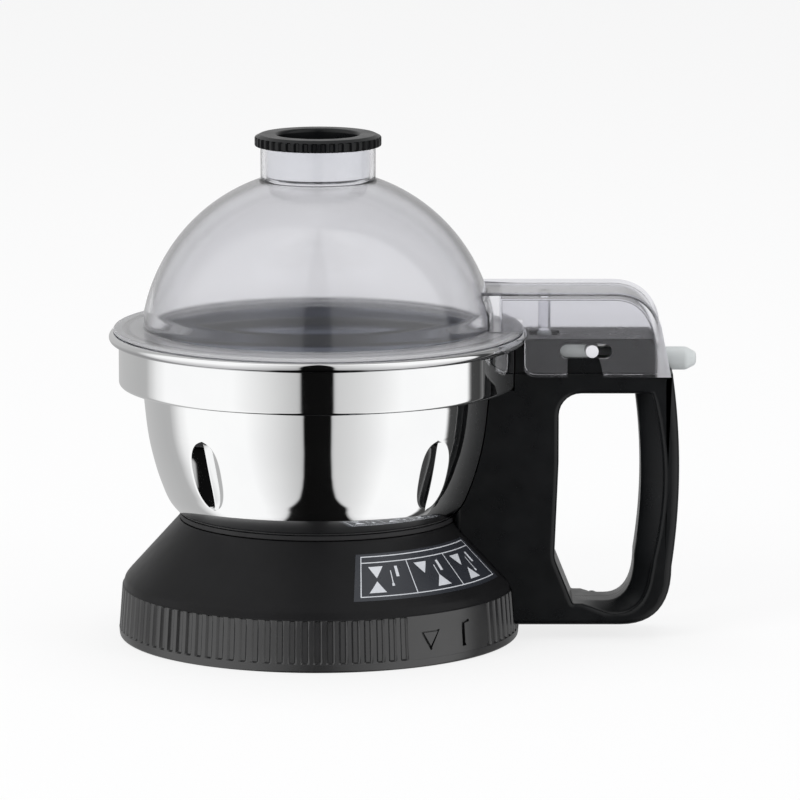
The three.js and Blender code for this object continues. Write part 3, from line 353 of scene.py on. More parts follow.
# Outlines
def rounded(corners, steps=6, closed=True):
    """Points of an outline whose corners are (x, y) or (x, y, radius)."""
    points = []
    count = len(corners)
    for i, corner in enumerate(corners):
        here = Vector(corner[:2])
        at_end = not closed and i in (0, count - 1)
        if len(corner) < 3 or at_end:
            points.append(tuple(here))
            continue
        before = Vector(corners[i - 1][:2]) - here
        after = Vector(corners[(i + 1) % count][:2]) - here
        half = before.angle(after) / 2
        reach = min(corner[2] / math.tan(half), before.length / 2, after.length / 2)
        radius = reach * math.tan(half)
        towards = (before.normalized() + after.normalized()).normalized()
        centre = here + towards * (radius / math.sin(half))
        start = here + before.normalized() * reach - centre
        end = here + after.normalized() * reach - centre
        first = math.atan2(start.y, start.x)
        sweep = (math.atan2(end.y, end.x) - first + math.pi) % TURN - math.pi
        for k in range(steps + 1):
            angle = first + sweep * k / steps
            points.append((centre.x + radius * math.cos(angle), centre.y + radius * math.sin(angle)))
    return points


def quadratic(start, handle, end, steps):
    """Points of a quadratic curve after its start."""
    points = []
    for k in range(1, steps + 1):
        t = k / steps
        weights = ((1 - t) ** 2, 2 * t * (1 - t), t * t)
        points.append(tuple(sum(w * p for w, p in zip(weights, along)) for along in zip(start, handle, end)))
    return points


def arc(centre, radius, start, end, steps):
    angles = [degrees(start + (end - start) * k / steps) for k in range(steps + 1)]
    return [(centre[0] + radius * math.cos(angle), centre[1] + radius * math.sin(angle)) for angle in angles]


def smooth_curve(knots, steps):
    """Catmull-Rom curve through the knots."""
    ends = [tuple(2 * a - b for a, b in zip(knots[0], knots[1]))]
    ends.append(tuple(2 * a - b for a, b in zip(knots[-1], knots[-2])))
    line = [ends[0], *knots, ends[1]]
    points = [knots[0]]
    for p0, p1, p2, p3 in zip(line, line[1:], line[2:], line[3:]):
        for k in range(1, steps + 1):
            t = k / steps
            points.append(tuple(
                0.5 * (2 * b + (c - a) * t + (2 * a - 5 * b + 4 * c - d) * t * t
                       + (3 * b - 3 * c + d - a) * t ** 3)
                for a, b, c, d in zip(p0, p1, p2, p3)))
    return points


def divided(points, step, closed=True):
    """The same outline with its long stretches divided."""
    out = []
    stretches = zip(points, points[1:] + points[:1] if closed else points[1:])
    for a, b in stretches:
        parts = max(1, math.ceil(math.dist(a, b) / step))
        out += [tuple(p + (q - p) * k / parts for p, q in zip(a, b)) for k in range(parts)]
    return out if closed else out + [points[-1]]


def offset(points, distance, closed=False):
    """An outline moved to its right by a distance, with mitred corners."""
    out = []
    count = len(points)
    for i, point in enumerate(points):
        normals = []
        for j in (i - 1, i):
            if closed or 0 <= j < count - 1:
                a, b = Vector(points[j % count]), Vector(points[(j + 1) % count])
                along = (b - a).normalized()
                normals.append(Vector((along.y, -along.x)))
        mean = sum(normals, Vector((0, 0))) / len(normals)
        out.append(tuple(Vector(point) + mean * (distance / mean.length_squared)))
    return out


# Meshes
def new_object(name, shell):
    bmesh.ops.remove_doubles(shell, verts=shell.verts, dist=MERGE_WITHIN)
    bmesh.ops.recalc_face_normals(shell, faces=shell.faces)
    bmesh.ops.scale(shell, verts=shell.verts, vec=(MM, MM, MM))
    mesh = bpy.data.meshes.new(name)
    shell.to_mesh(mesh)
    shell.free()
    made = bpy.data.objects.new(name, mesh)
    bpy.context.collection.objects.link(made)
    return made


def lathe(name, profile, sides=192, form=None, axis="Z", centre=(0, 0, 0), turned=None):
    """Closed solid of revolution; profile is a closed outline of (radius, height).

    form moves a point by its angle, and turned moves its angle by its height.
    """
    shell = bmesh.new()
    rings = []
    for i in range(sides):
        ring = []
        for r, z in profile:
            angle = turned(TURN * i / sides, z) if turned else TURN * i / sides
            if form:
                r, z = form(r, z, angle)
            x, y = r * math.cos(angle), r * math.sin(angle)
            place = {"Z": (x, y, z), "X": (z, x, y), "Y": (y, z, x)}[axis]
            ring.append(shell.verts.new(Vector(place) + Vector(centre)))
        rings.append(ring)
    for i, ring in enumerate(rings):
        after = rings[(i + 1) % sides]
        for j in range(len(profile)):
            k = (j + 1) % len(profile)
            shell.faces.new((ring[j], after[j], after[k], ring[k]))
    return new_object(name, shell)


def rod(name, radius, low, high, edge=0.3, sides=48, axis="Z", centre=(0, 0, 0)):
    """Round bar with eased edges."""
    profile = rounded([(0, low), (radius, low, edge), (radius, high, edge), (0, high)], 3)
    return lathe(name, profile, sides, axis=axis, centre=centre)


def tube(name, inner, outer, low, high, edge=0.2, sides=64):
    profile = rounded([(inner, low, edge), (outer, low, edge), (outer, high, edge), (inner, high, edge)], 2)
    return lathe(name, profile, sides)


def loft(name, sections):
    """Closed skin through sections with equally many points, capped at both ends."""
    shell = bmesh.new()
    rings = [[shell.verts.new(p) for p in section] for section in sections]
    count = len(rings[0])
    for ring, after in zip(rings, rings[1:]):
        for j in range(count):
            k = (j + 1) % count
            shell.faces.new((ring[j], ring[k], after[k], after[j]))
    shell.faces.new(rings[0])
    shell.faces.new(rings[-1])
    bmesh.ops.triangulate(shell, faces=[f for f in shell.faces if len(f.verts) > 4])
    return new_object(name, shell)


def box(name, low, high, edge=0, steps=2):
    shell = bmesh.new()
    bmesh.ops.create_cube(shell, size=1)
    for vert in shell.verts:
        vert.co = [lo + (hi - lo) * (c + 0.5) for lo, hi, c in zip(low, high, vert.co)]
    if edge:
        bmesh.ops.bevel(shell, geom=shell.edges, offset=edge, segments=steps, affect="EDGES", profile=0.5)
    return new_object(name, shell)


def settle(thing):
    """Applies the modifiers of an object."""
    seen = bpy.context.evaluated_depsgraph_get()
    mesh = bpy.data.meshes.new_from_object(thing.evaluated_get(seen))
    old = thing.data
    thing.modifiers.clear()
    thing.data = mesh
    bpy.data.meshes.remove(old)


def combine(thing, operation, tools):
    for tool in tools:
        step = thing.modifiers.new("combine", "BOOLEAN")
        step.operation = operation
        step.solver = "MANIFOLD"
        step.object = tool
        settle(thing)
        mesh = tool.data
        bpy.data.objects.remove(tool)
        bpy.data.meshes.remove(mesh)
    return thing


def cut(thing, *tools):
    return combine(thing, "DIFFERENCE", tools)


def join(thing, *tools):
    return combine(thing, "UNION", tools)


def eased(thing, width, steps=2, angle=40):
    """Rounds the sharp edges of an object."""
    step = thing.modifiers.new("ease", "BEVEL")
    step.width = width * MM
    step.segments = steps
    step.limit_method = "ANGLE"
    step.angle_limit = degrees(angle)
    settle(thing)
    return thing


def piece(thing, body, slot, node=None, look=None, sharp=35):
    """Finishes an object as a piece of the model, for a CAD node; its look is its slot's or another."""
    mesh = thing.data
    mesh.shade_smooth()
    mesh.set_sharp_from_angle(angle=degrees(sharp))
    step = thing.modifiers.new("normals", "WEIGHTED_NORMAL")
    step.keep_sharp = True
    settle(thing)
    thing.data.materials.clear()
    thing.data.materials.append(MATERIALS[look or slot])
    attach(thing, body)
    if node:
        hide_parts(node)
    return thing


# Node trees
NOISE_MIDDLE = (0.3, 0.7)
GREY_ROOM = (0.62, 0.62, 0.625)
WHITE = (1, 1, 1)


class Nodes:
    """A node tree; a value for a node is another node's output, or what its socket is set to."""

    def __init__(self, tree):
        self.tree = tree

    def node(self, kind, **settings):
        made = self.tree.nodes.new(kind)
        for key, value in settings.items():
            setattr(made, key, value)
        return made

    def feed(self, socket, value):
        if isinstance(value, bpy.types.NodeSocket):
            self.tree.links.new(value, socket)
        else:
            socket.default_value = value

    def number(self, operation, *values):
        made = self.node("ShaderNodeMath", operation=operation)
        for socket, value in zip(made.inputs, values):
            self.feed(socket, value)
        return made.outputs["Value"]

    def vector(self, operation, *values):
        made = self.node("ShaderNodeVectorMath", operation=operation)
        for socket, value in zip(made.inputs, values):
            self.feed(socket, value)
        return made.outputs["Value" if operation in ("DOT_PRODUCT", "LENGTH") else "Vector"]

    def axes(self, place):
        """X, Y and Z of a place."""
        split = self.node("ShaderNodeSeparateXYZ")
        self.feed(split.inputs[0], place)
        return split.outputs

    def ranged(self, source, start, stop, low=0, high=1):
        """low where the source is at start, high where it is at stop, and no further beyond them."""
        made = self.node("ShaderNodeMapRange")
        ends = {"Value": source, "From Min": start, "From Max": stop, "To Min": low, "To Max": high}
        for name, value in ends.items():
            self.feed(made.inputs[name], value)
        return made.outputs["Result"]

    def blend(self, factor, first, second):
        """Mixes two colours, each an output or three numbers."""
        made = self.node("ShaderNodeMix", data_type="RGBA")
        self.feed(made.inputs["Factor"], factor)
        for name, value in (("A", first), ("B", second)):
            self.feed(made.inputs[name], (*value, 1) if isinstance(value, tuple) else value)
        return made.outputs["Result"]

    def ramp(self, source, stops, span, scale):
        """Grey ramp over stops that lie within half a span on both sides of zero."""
        made = self.node("ShaderNodeValToRGB")
        elements = made.color_ramp.elements
        for at, _ in stops[1:-1]:
            elements.new(at / span + 0.5)
        for element, (at, tone) in zip(elements, stops):
            element.position = at / span + 0.5
            element.color = (tone, tone, tone, 1)
        self.feed(made.inputs["Fac"], self.number("MULTIPLY_ADD", source, scale, 0.5))
        return made.outputs["Color"]

    def seen_directly(self):
        """1 for rays from the camera, also behind clear pieces."""
        rays = self.node("ShaderNodeLightPath").outputs
        return self.number("MAXIMUM", rays["Is Camera Ray"], rays["Is Transmission Ray"])


class Shader(Nodes):
    """A material's node tree with its surface."""

    def __init__(self, name):
        self.material = bpy.data.materials.new(name)
        self.material.use_nodes = True
        super().__init__(self.material.node_tree)
        self.surface = self.tree.nodes["Principled BSDF"]

    def set(self, **values):
        for key, value in values.items():
            self.feed(self.surface.inputs[key.replace("_", " ")], value)

    def noise(self, scale, detail=3, stretch=(1, 1, 1)):
        """Noise in object space; scale is in turns per metre."""
        mapping = self.node("ShaderNodeMapping")
        self.feed(mapping.inputs["Vector"], self.node("ShaderNodeTexCoord").outputs["Object"])
        self.feed(mapping.inputs["Scale"], stretch)
        made = self.node("ShaderNodeTexNoise")
        for name, value in {"Vector": mapping.outputs["Vector"], "Scale": scale, "Detail": detail}.items():
            self.feed(made.inputs[name], value)
        return made.outputs["Fac"]

    def spread(self, noise, low, high):
        """Maps the middle of a noise on to a range."""
        return self.ranged(self.noise(*noise), *NOISE_MIDDLE, low, high)

    def tone(self, noise, dark, light):
        return self.blend(self.spread(noise, 0, 1), dark, light)

    def towards(self, factor, first, second):
        """Mixes an output towards a number."""
        made = self.node("ShaderNodeMix", data_type="FLOAT")
        for name, value in {"Factor": factor, "A": first, "B": second}.items():
            self.feed(made.inputs[name], value)
        return made.outputs["Result"]

    def bump(self, noise, height):
        """Bump of a height in millimetres."""
        made = self.node("ShaderNodeBump")
        made.inputs["Distance"].default_value = height * MM
        self.feed(made.inputs["Height"], self.noise(*noise))
        self.set(Normal=made.outputs["Normal"])


# Materials; a noise is its turns per metre, its detail and its stretch
METAL_TONE, METAL_GLOSS, METAL_LINES = (35,), (60, 4), (900, 2, (0.05, 0.05, 1))
PLASTIC_TONE, PLASTIC_GLOSS, PLASTIC_GRAIN = (40,), (120, 4), (2500,)
CLEAR_TONE, CLEAR_GLOSS, CLEAR_WAVE = (15,), (80,), (25, 1)
CLEAR_IOR = 1.49
# Painted shade: a darker grey steel on the bead's lower half, in the crease where its sheet closes into the
# band
BEAD_SHADE_TONE = (0.55, 0.55, 0.56)
BEAD_SHADE_FOOT = (BEAD_Z - BEAD_RADIUS - 0.2, BEAD_Z - BEAD_RADIUS + 0.3)
BEAD_SHADE_TOP = (BEAD_Z + 0.5, BEAD_Z - 0.7)
BEAD_SHADE_OUTSIDE = (BAND_RADIUS + 0.05, BAND_RADIUS + 0.2)
FACING_IN = (-0.05, -0.15)
# Grey painted as shade on the rims of clear plastic, where it is seen edge-on
RIM_SHADE_TONE = (0.34, 0.34, 0.36)
FROST_HAZE = 0.4


def metal(name, dark, light, rough, lines):
    """Metal with turned micro-lines across Z."""
    shader = Shader(name)
    shader.set(Metallic=1, Base_Color=shader.tone(METAL_TONE, dark, light),
               Roughness=shader.spread(METAL_GLOSS, *rough))
    shader.bump(METAL_LINES, lines)
    return shader.material


def bowl_steel(name, dark, light, inner, rough, inner_rough, lines):
    """Mirror-polished outside, satin inside, and painted shade in the crease under the bead, where its sheet
    closes.
    """
    shader = Shader(name)
    place = shader.node("ShaderNodeTexCoord").outputs
    flat = shader.vector("MULTIPLY", place["Object"], (1, 1, 0))
    facing = shader.vector("DOT_PRODUCT", shader.vector("NORMALIZE", flat), place["Normal"])
    inside = shader.ranged(facing, *FACING_IN)
    height, radius = shader.axes(place["Object"])["Z"], shader.vector("LENGTH", flat)
    # Painted shade under the bead: its lower half, outside the band, takes the darker tone
    bead_shade = 1
    for source, ends in ((height, BEAD_SHADE_FOOT), (height, BEAD_SHADE_TOP), (radius, BEAD_SHADE_OUTSIDE)):
        bead_shade = shader.number("MULTIPLY", bead_shade, shader.ranged(source, *[end * MM for end in ends]))
    outside = shader.blend(bead_shade, shader.tone(METAL_TONE, dark, light), BEAD_SHADE_TONE)
    shader.set(Metallic=1, Base_Color=shader.blend(inside, outside, inner),
               Roughness=shader.towards(inside, shader.spread(METAL_GLOSS, *rough), inner_rough))
    shader.bump(METAL_LINES, lines)
    return shader.material


def plastic(name, dark, light, rough, grain, specular=0.5):
    """Moulded plastic with a fine grain."""
    shader = Shader(name)
    shader.set(Specular_IOR_Level=specular, Base_Color=shader.tone(PLASTIC_TONE, dark, light),
               Roughness=shader.spread(PLASTIC_GLOSS, *rough))
    shader.bump(PLASTIC_GRAIN, grain)
    return shader.material


def clear(name, dark, light, rough, wave, clarity, frost, rim_shade_range=(0.78, 0.97)):
    """Clear moulded plastic with a faint flow in it, frosted beyond a plane, and with painted grey shade at
    its rim where it is seen edge-on.

    frost holds the axis, where the frost starts and is full, its roughness, and the same two for its haze.
    """
    axis, start, stop, frosted, haze_from, haze_to = frost
    shader = Shader(name)
    # Painted shade: towards the rim, seen edge-on, the plastic turns grey and less clear
    edge = shader.ranged(shader.node("ShaderNodeLayerWeight").outputs["Facing"], *rim_shade_range)
    along = shader.axes(shader.node("ShaderNodeTexCoord").outputs["Object"])[axis]
    beyond = shader.ranged(along, start * MM, stop * MM)
    milky = shader.number("MULTIPLY", beyond, shader.ranged(along, haze_from * MM, haze_to * MM))
    haze = shader.number("MULTIPLY_ADD", milky, FROST_HAZE, shader.number("MULTIPLY", edge, edge))
    shader.set(IOR=CLEAR_IOR, Base_Color=shader.blend(edge, shader.tone(CLEAR_TONE, dark, light), RIM_SHADE_TONE),
               Transmission_Weight=shader.number("SUBTRACT", clarity, haze),
               Roughness=shader.towards(beyond, shader.spread(CLEAR_GLOSS, *rough), frosted))
    shader.bump(CLEAR_WAVE, wave)
    return shader.material


# Kind of each material, its darkest and lightest tone, its range of roughness, and what else its kind needs
LOOKS = {
    "polished_steel": (metal, (0.86, 0.87, 0.89), (0.92, 0.93, 0.94), (0.03, 0.06), 0.0003),
    "plain_steel": (metal, (0.52, 0.53, 0.54), (0.60, 0.61, 0.62), (0.22, 0.32), 0.002),
    "cast_alloy": (metal, (0.50, 0.51, 0.52), (0.60, 0.61, 0.62), (0.28, 0.4), 0.003),
    "bronze": (metal, (0.40, 0.25, 0.11), (0.52, 0.34, 0.16), (0.35, 0.45), 0.003),
    # base_black is the cone's copy of the ribs' plastic, with its specular and tone turned down as painted
    # shade under the bowl; rib_black is the plain copy
    "base_black": (plastic, (0.009, 0.009, 0.0095), (0.012, 0.012, 0.0128), (0.30, 0.36), 0.003, 0.14),
    "rib_black": (plastic, (0.010, 0.010, 0.0105), (0.013, 0.013, 0.0138), (0.28, 0.34), 0.003, 1),
    "handle_black": (plastic, (0.004, 0.0045, 0.005), (0.006, 0.0065, 0.0075), (0.26, 0.34), 0.003, 0.3),
    "black_rubber": (plastic, (0.008, 0.008, 0.009), (0.012, 0.012, 0.013), (0.5, 0.62), 0.006),
    "clear_seal": (plastic, (0.55, 0.56, 0.55), (0.62, 0.63, 0.62), (0.4, 0.5), 0.002),
    "grey_plastic": (plastic, (0.62, 0.65, 0.65), (0.68, 0.71, 0.71), (0.3, 0.4), 0.002),
    "white_plastic": (plastic, (0.76, 0.76, 0.79), (0.82, 0.82, 0.84), (0.3, 0.4), 0.002),
    "label_ground": (plastic, (0.022, 0.025, 0.032), (0.03, 0.033, 0.041), (0.25, 0.33), 0.001),
    "label_print": (plastic, (0.62, 0.64, 0.68), (0.74, 0.76, 0.8), (0.4, 0.5), 0.001),
    "clear_plastic": (
        clear, (0.86, 0.86, 0.88), (0.88, 0.88, 0.90), (0.05, 0.08), 0.001, 0.99,
        ("Z", FLANGE_TOP_Z + 0.5, FLANGE_TOP_Z - 0.5, 0.22, FLANGE_UNDER_Z - 0.5, FLANGE_UNDER_Z)),
    "hood_plastic": (
        clear, (0.82, 0.82, 0.85), (0.84, 0.84, 0.87), (0.08, 0.12), 0.001, 0.975,
        ("X", 143, 145.5, 0.35, 143, 145.5), (0.74, 0.94)),
}
MATERIALS = {name: kind(name, *values) for name, (kind, *values) in LOOKS.items()}
MATERIALS["bowl_steel"] = bowl_steel(
    "bowl_steel", (0.93, 0.935, 0.94), (0.96, 0.965, 0.965), (0.74, 0.765, 0.82), (0.03, 0.06), 0.28, 0.0003)


# Bowl: one sheet of steel, with a rolled bead and four pressed flow breakers
@functools.cache
def bowl_line():
    """Outside of the bowl's lower body, from the floor's edge to the step."""
    tall = BAND_STEP_Z - BOWL_FLOOR_Z
    return smooth_curve([(r * BOWL_RADIUS, BOWL_FLOOR_Z + z * tall) for r, z in BOWL_CURVE_SHARES], 8)


def radius_at(z):
    line = bowl_line()
    for (r0, z0), (r1, z1) in zip(line, line[1:]):
        if z0 <= z <= z1:
            return r0 + (r1 - r0) * (z - z0) / (z1 - z0)
    return BOWL_RADIUS


def beside(angle, centre):
    """Turn from a centre in degrees to an angle, the short way."""
    return (angle - degrees(centre) + math.pi) % TURN - math.pi


@functools.cache
def breaker_half(z):
    """Half width of a flow breaker at a height, as an angle; beyond its ends it stays a hair wide."""
    up = min(abs(z - BREAKER_Z) / (BREAKER_HEIGHT / 2), 1)
    share = max((1 - up ** BREAKER_FULLNESS) ** 0.5, BREAKER_HAIR)
    return share * BREAKER_WIDTH / 2 / radius_at(BREAKER_Z)


def breaker_turned(angle, z):
    """Draws the mesh lines round each flow breaker in to its outline and its valley."""
    half, widest = breaker_half(z), breaker_half(BREAKER_Z)
    for centre, _, _ in BREAKERS:
        away = beside(angle, centre)
        if abs(away) >= BREAKER_ROOM * widest:
            continue
        if abs(away) <= widest:
            return angle - away + away * half / widest
        beyond = (abs(away) - widest) / ((BREAKER_ROOM - 1) * widest)
        return angle - away + math.copysign(half + beyond * (BREAKER_ROOM * widest - half), away)
    return angle


def breaker_form(r, z, angle):
    """Presses the flow breakers inwards: a V-shaped valley in an oval outline."""
    if not BREAKER_RANGE[0] < z < BREAKER_RANGE[1]:
        return r, z
    half = breaker_half(z)
    for centre, valley, deepest in BREAKERS:
        across = beside(angle, centre) / half
        if abs(across) >= 1:
            continue
        side = (across + 1) / (valley + 1) if across < valley else (1 - across) / (1 - valley)
        share = half / breaker_half(BREAKER_Z)
        return r - deepest * max(share - BREAKER_HAIR, 0) * min(side, 1), z
    return r, z


def make_bowl():
    outside = bowl_line()[:-1] + rounded([
        (BOWL_RADIUS, BAND_STEP_Z - 3), (BOWL_RADIUS, BAND_STEP_Z, 0.7), (BAND_RADIUS, BAND_STEP_Z, 1.6),
        (BAND_RADIUS, BEAD_Z - BEAD_TUCK)], 5, closed=False)[1:]
    outside = divided(outside, 1, closed=False)
    bead = arc((BAND_RADIUS + BEAD_RADIUS, BEAD_Z), BEAD_RADIUS, *BEAD_SWEEP, 28)
    inside = offset(outside, -SHEET)[::-1]
    lip = [(BAND_RADIUS + BEAD_RADIUS, RIM_TOP_Z), (BAND_RADIUS - SHEET * 0.4, BEAD_Z + BEAD_TUCK)]
    hole = [(HOUSING_HOLE, BOWL_FLOOR_Z + SHEET), (HOUSING_HOLE, BOWL_FLOOR_Z)]
    profile = [hole[1], *outside, *bead[:-1], *lip, *inside, hole[0]]
    bowl = lathe("bowl", profile, 720, breaker_form, turned=breaker_turned)
    piece(bowl, "jar", "polished_steel", "jar_bowl", "bowl_steel", 28)


def make_seat_ring():
    foot = COLLAR_TOP_Z + GAP
    profile = rounded([
        (radius_at(foot) + GAP, foot, 0.2), (SEAT_RADIUS, foot, 0.4), (SEAT_RADIUS, SEAT_TOP_Z, 1.2),
        (radius_at(SEAT_TOP_Z) + GAP, SEAT_TOP_Z, 0.2)], 4)
    piece(lathe("seat_ring", profile, 256), "jar", "black_rubber", "bowl_seat_ring")


# Base: cone over a ribbed skirt
def valley(share, start, end, flank):
    """Depth of a valley at a share of its pitch, from 0 at its edges to 1 past its flanks."""
    return min(1, max(0, share - start) / flank, max(0, end - share) / flank)


def rib_form(r, z, angle):
    """Cuts the valleys between the ribs into the skirt."""
    on_skirt = LIP_HEIGHT < z < RIB_TOP_Z and r > RIB_TOP_RADIUS - 0.5
    turn = (math.degrees(angle) - PANEL_FROM) % 360
    if not on_skirt or turn < PANEL_TO - PANEL_FROM:
        return r, z
    pitch = 360 / RIB_COUNT
    fade = min(1, (z - LIP_HEIGHT) / FADE, (RIB_TOP_Z - z) / FADE)
    return r - RIB_DEPTH * valley((turn % pitch) / pitch, *RIB_VALLEY) * fade, z


def make_base():
    foot, top = (RIB_FOOT_RADIUS, LIP_HEIGHT + 0.01), (RIB_TOP_RADIUS, RIB_TOP_Z)
    outside = [
        *rounded([(LIP_FOOT_RADIUS, 0), (LIP_RADIUS - 0.3, 0, 1.3), (LIP_RADIUS, LIP_HEIGHT - 0.1, 0.3),
                  (RIB_FOOT_RADIUS, LIP_HEIGHT)], 4, closed=False),
        *[tuple(a + (b - a) * t for a, b in zip(foot, top)) for t in RIB_ROWS],
        *rounded([(RIB_TOP_RADIUS - 0.1, RIB_TOP_Z + 0.15), (RIB_TOP_RADIUS - 0.5, RIB_TOP_Z + 0.5, 0.2),
                  SHOULDER_START, (SHOULDER_RADIUS - 0.2, SHOULDER_Z + 0.2, 0.8),
                  (CONE_TOP_RADIUS, CONE_TOP_Z, 1.5), (CONE_TOP_RADIUS - 0.6, COLLAR_TOP_Z, 0.3),
                  (radius_at(COLLAR_TOP_Z) + GAP, COLLAR_TOP_Z)], 5, closed=False),
    ]
    inside = [
        *[(radius_at(z) + GAP, z) for z in BASE_SEAT_HEIGHTS], BASE_FLOOR, (HOUSING_HOLE, BASE_FLOOR[1]),
        (HOUSING_HOLE, BASE_INSIDE[0][1]), *BASE_INSIDE,
    ]
    base = lathe("base", divided(outside + inside, 6), RIB_COUNT * 12, rib_form)
    inner = LIP_RADIUS - LUG_REACH
    for i in range(LUG_COUNT):
        lug = box(f"lug_{i}", (inner, -LUG_HALF, LUG_Z[0]), (inner + LUG_DEPTH, LUG_HALF, LUG_Z[1]), 0.4)
        lug.data.transform(Matrix.Rotation(TURN * (i + 0.5) / LUG_COUNT, 4, "Z"))
        join(base, lug)
    cut(base, *panel_marks())
    for y in (-PAIR_Y, PAIR_Y):
        cut(base, rod("screw_hole", SCREW_ROOM, 74, 92, 0, 24, "X", (0, y, BASE_SCREW_Z)))
    piece(base, "jar", "base_black", "base_housing", sharp=32)
    # Painted shade: the ribbed skirt takes rib_black and the cone keeps base_black, a darker copy of the same
    # plastic
    base.data.materials.append(MATERIALS["rib_black"])
    for face in base.data.polygons:
        outwards = face.center.x * face.normal.x + face.center.y * face.normal.y > 0
        face.material_index = int(outwards and face.center.z < RIB_TOP_Z * MM)


def panel_marks():
    """Tools that engrave an outline triangle and a hooked bar on the plain panel."""
    def engraver(name, outline, angle, top):
        ends = (RIB_TOP_RADIUS - MARK_DEPTH, RIB_TOP_RADIUS + 4)
        made = loft(name, [[(x, u, top + v) for u, v in outline] for x in ends])
        made.data.transform(Matrix.Rotation(degrees(angle), 4, "Z"))
        return made
    half, tall, line = 5, 8.5, 0.8
    strokes = [
        [(-half, 0), (half, 0), (half - line, -line), (-half + line, -line)],
        [(-half, 0), (-half + 1.8, -line), (0.9, -tall + 0.6), (0, -tall)],
        [(half, 0), (0, -tall), (-0.1, -tall + 1.6), (half - 1.1, -line)],
    ]
    hook = [(-1.2, 0), (3.4, 0), (3.4, -1.1), (0.6, -1.4), (0.6, -9.6), (1.2, -11), (-1.2, -11)]
    marks = [engraver("stroke", stroke, TRIANGLE_TURN, TRIANGLE_TOP_Z) for stroke in strokes]
    return [*marks, engraver("hook", hook, HOOK_TURN, HOOK_TOP_Z)]


# Lid
def dome_foot_angle():
    return math.degrees(math.asin((DOME_FOOT_Z - DOME_CENTRE_Z) / DOME_RADIUS))


def lid_profile():
    neck_angle = math.degrees(math.acos(NECK_RADIUS / DOME_RADIUS))
    edge_z = RIM_TOP_Z + GAP
    dome = arc((0, DOME_CENTRE_Z), DOME_RADIUS, dome_foot_angle(), neck_angle, 40)
    outside = rounded([
        (FLANGE_RADIUS - 3, edge_z), (FLANGE_RADIUS, edge_z, 0.5), (FLANGE_RADIUS, FLANGE_TOP_Z, 1.2),
        (dome[0][0] + 0.2, FLANGE_TOP_Z, 1.2), dome[0]], 5, closed=False)
    outside += dome[1:-1]
    bore = NECK_RADIUS - LID_WALL + GAP
    outside += rounded([
        dome[-2], (NECK_RADIUS, dome[-1][1], 1.2), (NECK_RADIUS, NECK_TOP_Z, 0.4), (bore, NECK_TOP_Z, 0.4),
        (bore, NECK_BORE_Z)], 5, closed=False)[1:-1]
    inner = DOME_RADIUS - LID_WALL - GAP
    start = math.degrees(math.asin((FLANGE_TOP_Z - DOME_CENTRE_Z) / inner))
    stop = math.degrees(math.acos((NECK_RADIUS - LID_WALL) / inner))
    inside = arc((0, DOME_CENTRE_Z), inner, stop, start, 40)
    spigot, wall, groove = SPIGOT_RADIUS, SPIGOT_RADIUS - SPIGOT_WALL, SPIGOT_RADIUS - GROOVE_DEPTH
    groove_top = GROOVE_Z + GROOVE_HEIGHT
    foot = rounded([
        inside[-1], (inside[-1][0], FLANGE_UNDER_Z, 1), (wall, FLANGE_UNDER_Z, 0.8),
        (wall, SPIGOT_FOOT_Z, 0.8), (spigot, SPIGOT_FOOT_Z, 0.8), (spigot, GROOVE_Z), (groove, GROOVE_Z),
        (groove, groove_top), (spigot, groove_top), (spigot, edge_z)], 3, closed=False)
    return outside + inside + foot[1:]


def make_lid():
    piece(lathe("lid_dome_clear", divided(lid_profile(), 4), 256), "lid", "clear_plastic", "lid_dome")
    seal = tube("lid_seal", SPIGOT_RADIUS - GROOVE_DEPTH + GAP, SPIGOT_RADIUS + 0.4, GROOVE_Z + GAP,
                GROOVE_Z + GROOVE_HEIGHT - GAP, 0.4, 192)
    piece(seal, "lid", "clear_seal", "lid_gasket")


def quarter(steps):
    """Angles from 0 to a quarter turn."""
    return [math.pi / 2 * k / steps for k in range(steps + 1)]


def plate(name, outline, half, ease, steps=5):
    """Outline in X-Z pushed to both sides, with its side edges rounded."""
    rounding = [(half - ease * (1 - math.sin(t)), ease * (1 - math.cos(t))) for t in quarter(steps)]
    rows = [(-deep, inset) for deep, inset in reversed(rounding)] + rounding
    return loft(name, [[(x, y, z) for x, z in offset(outline, -inset, closed=True)] for y, inset in rows])


def pushed(name, outline, near, far):
    """Outline in X-Z pushed from one place in Y to another."""
    return loft(name, [[(x, y, z) for x, z in outline] for y in (near, far)])


def arm_outline(inset, foot_z, start_x):
    """Right end and top of the arm in X-Z, drawn in by an inset; runs clockwise from the top left."""
    shoulder = (ARM_SHOULDER[0] - inset, ARM_SHOULDER[1] - inset)
    crown = (ARM_CROWN_X, ARM_TOP_Z - inset)
    points = [(start_x, ARM_TOP_Z - inset), crown]
    points += quadratic(crown, (ARM_CROWN_HANDLE_X - inset, ARM_TOP_Z - inset), shoulder, 14)
    points.append((shoulder[0] + ARM_SLOPE * (shoulder[1] - foot_z), foot_z))
    return points


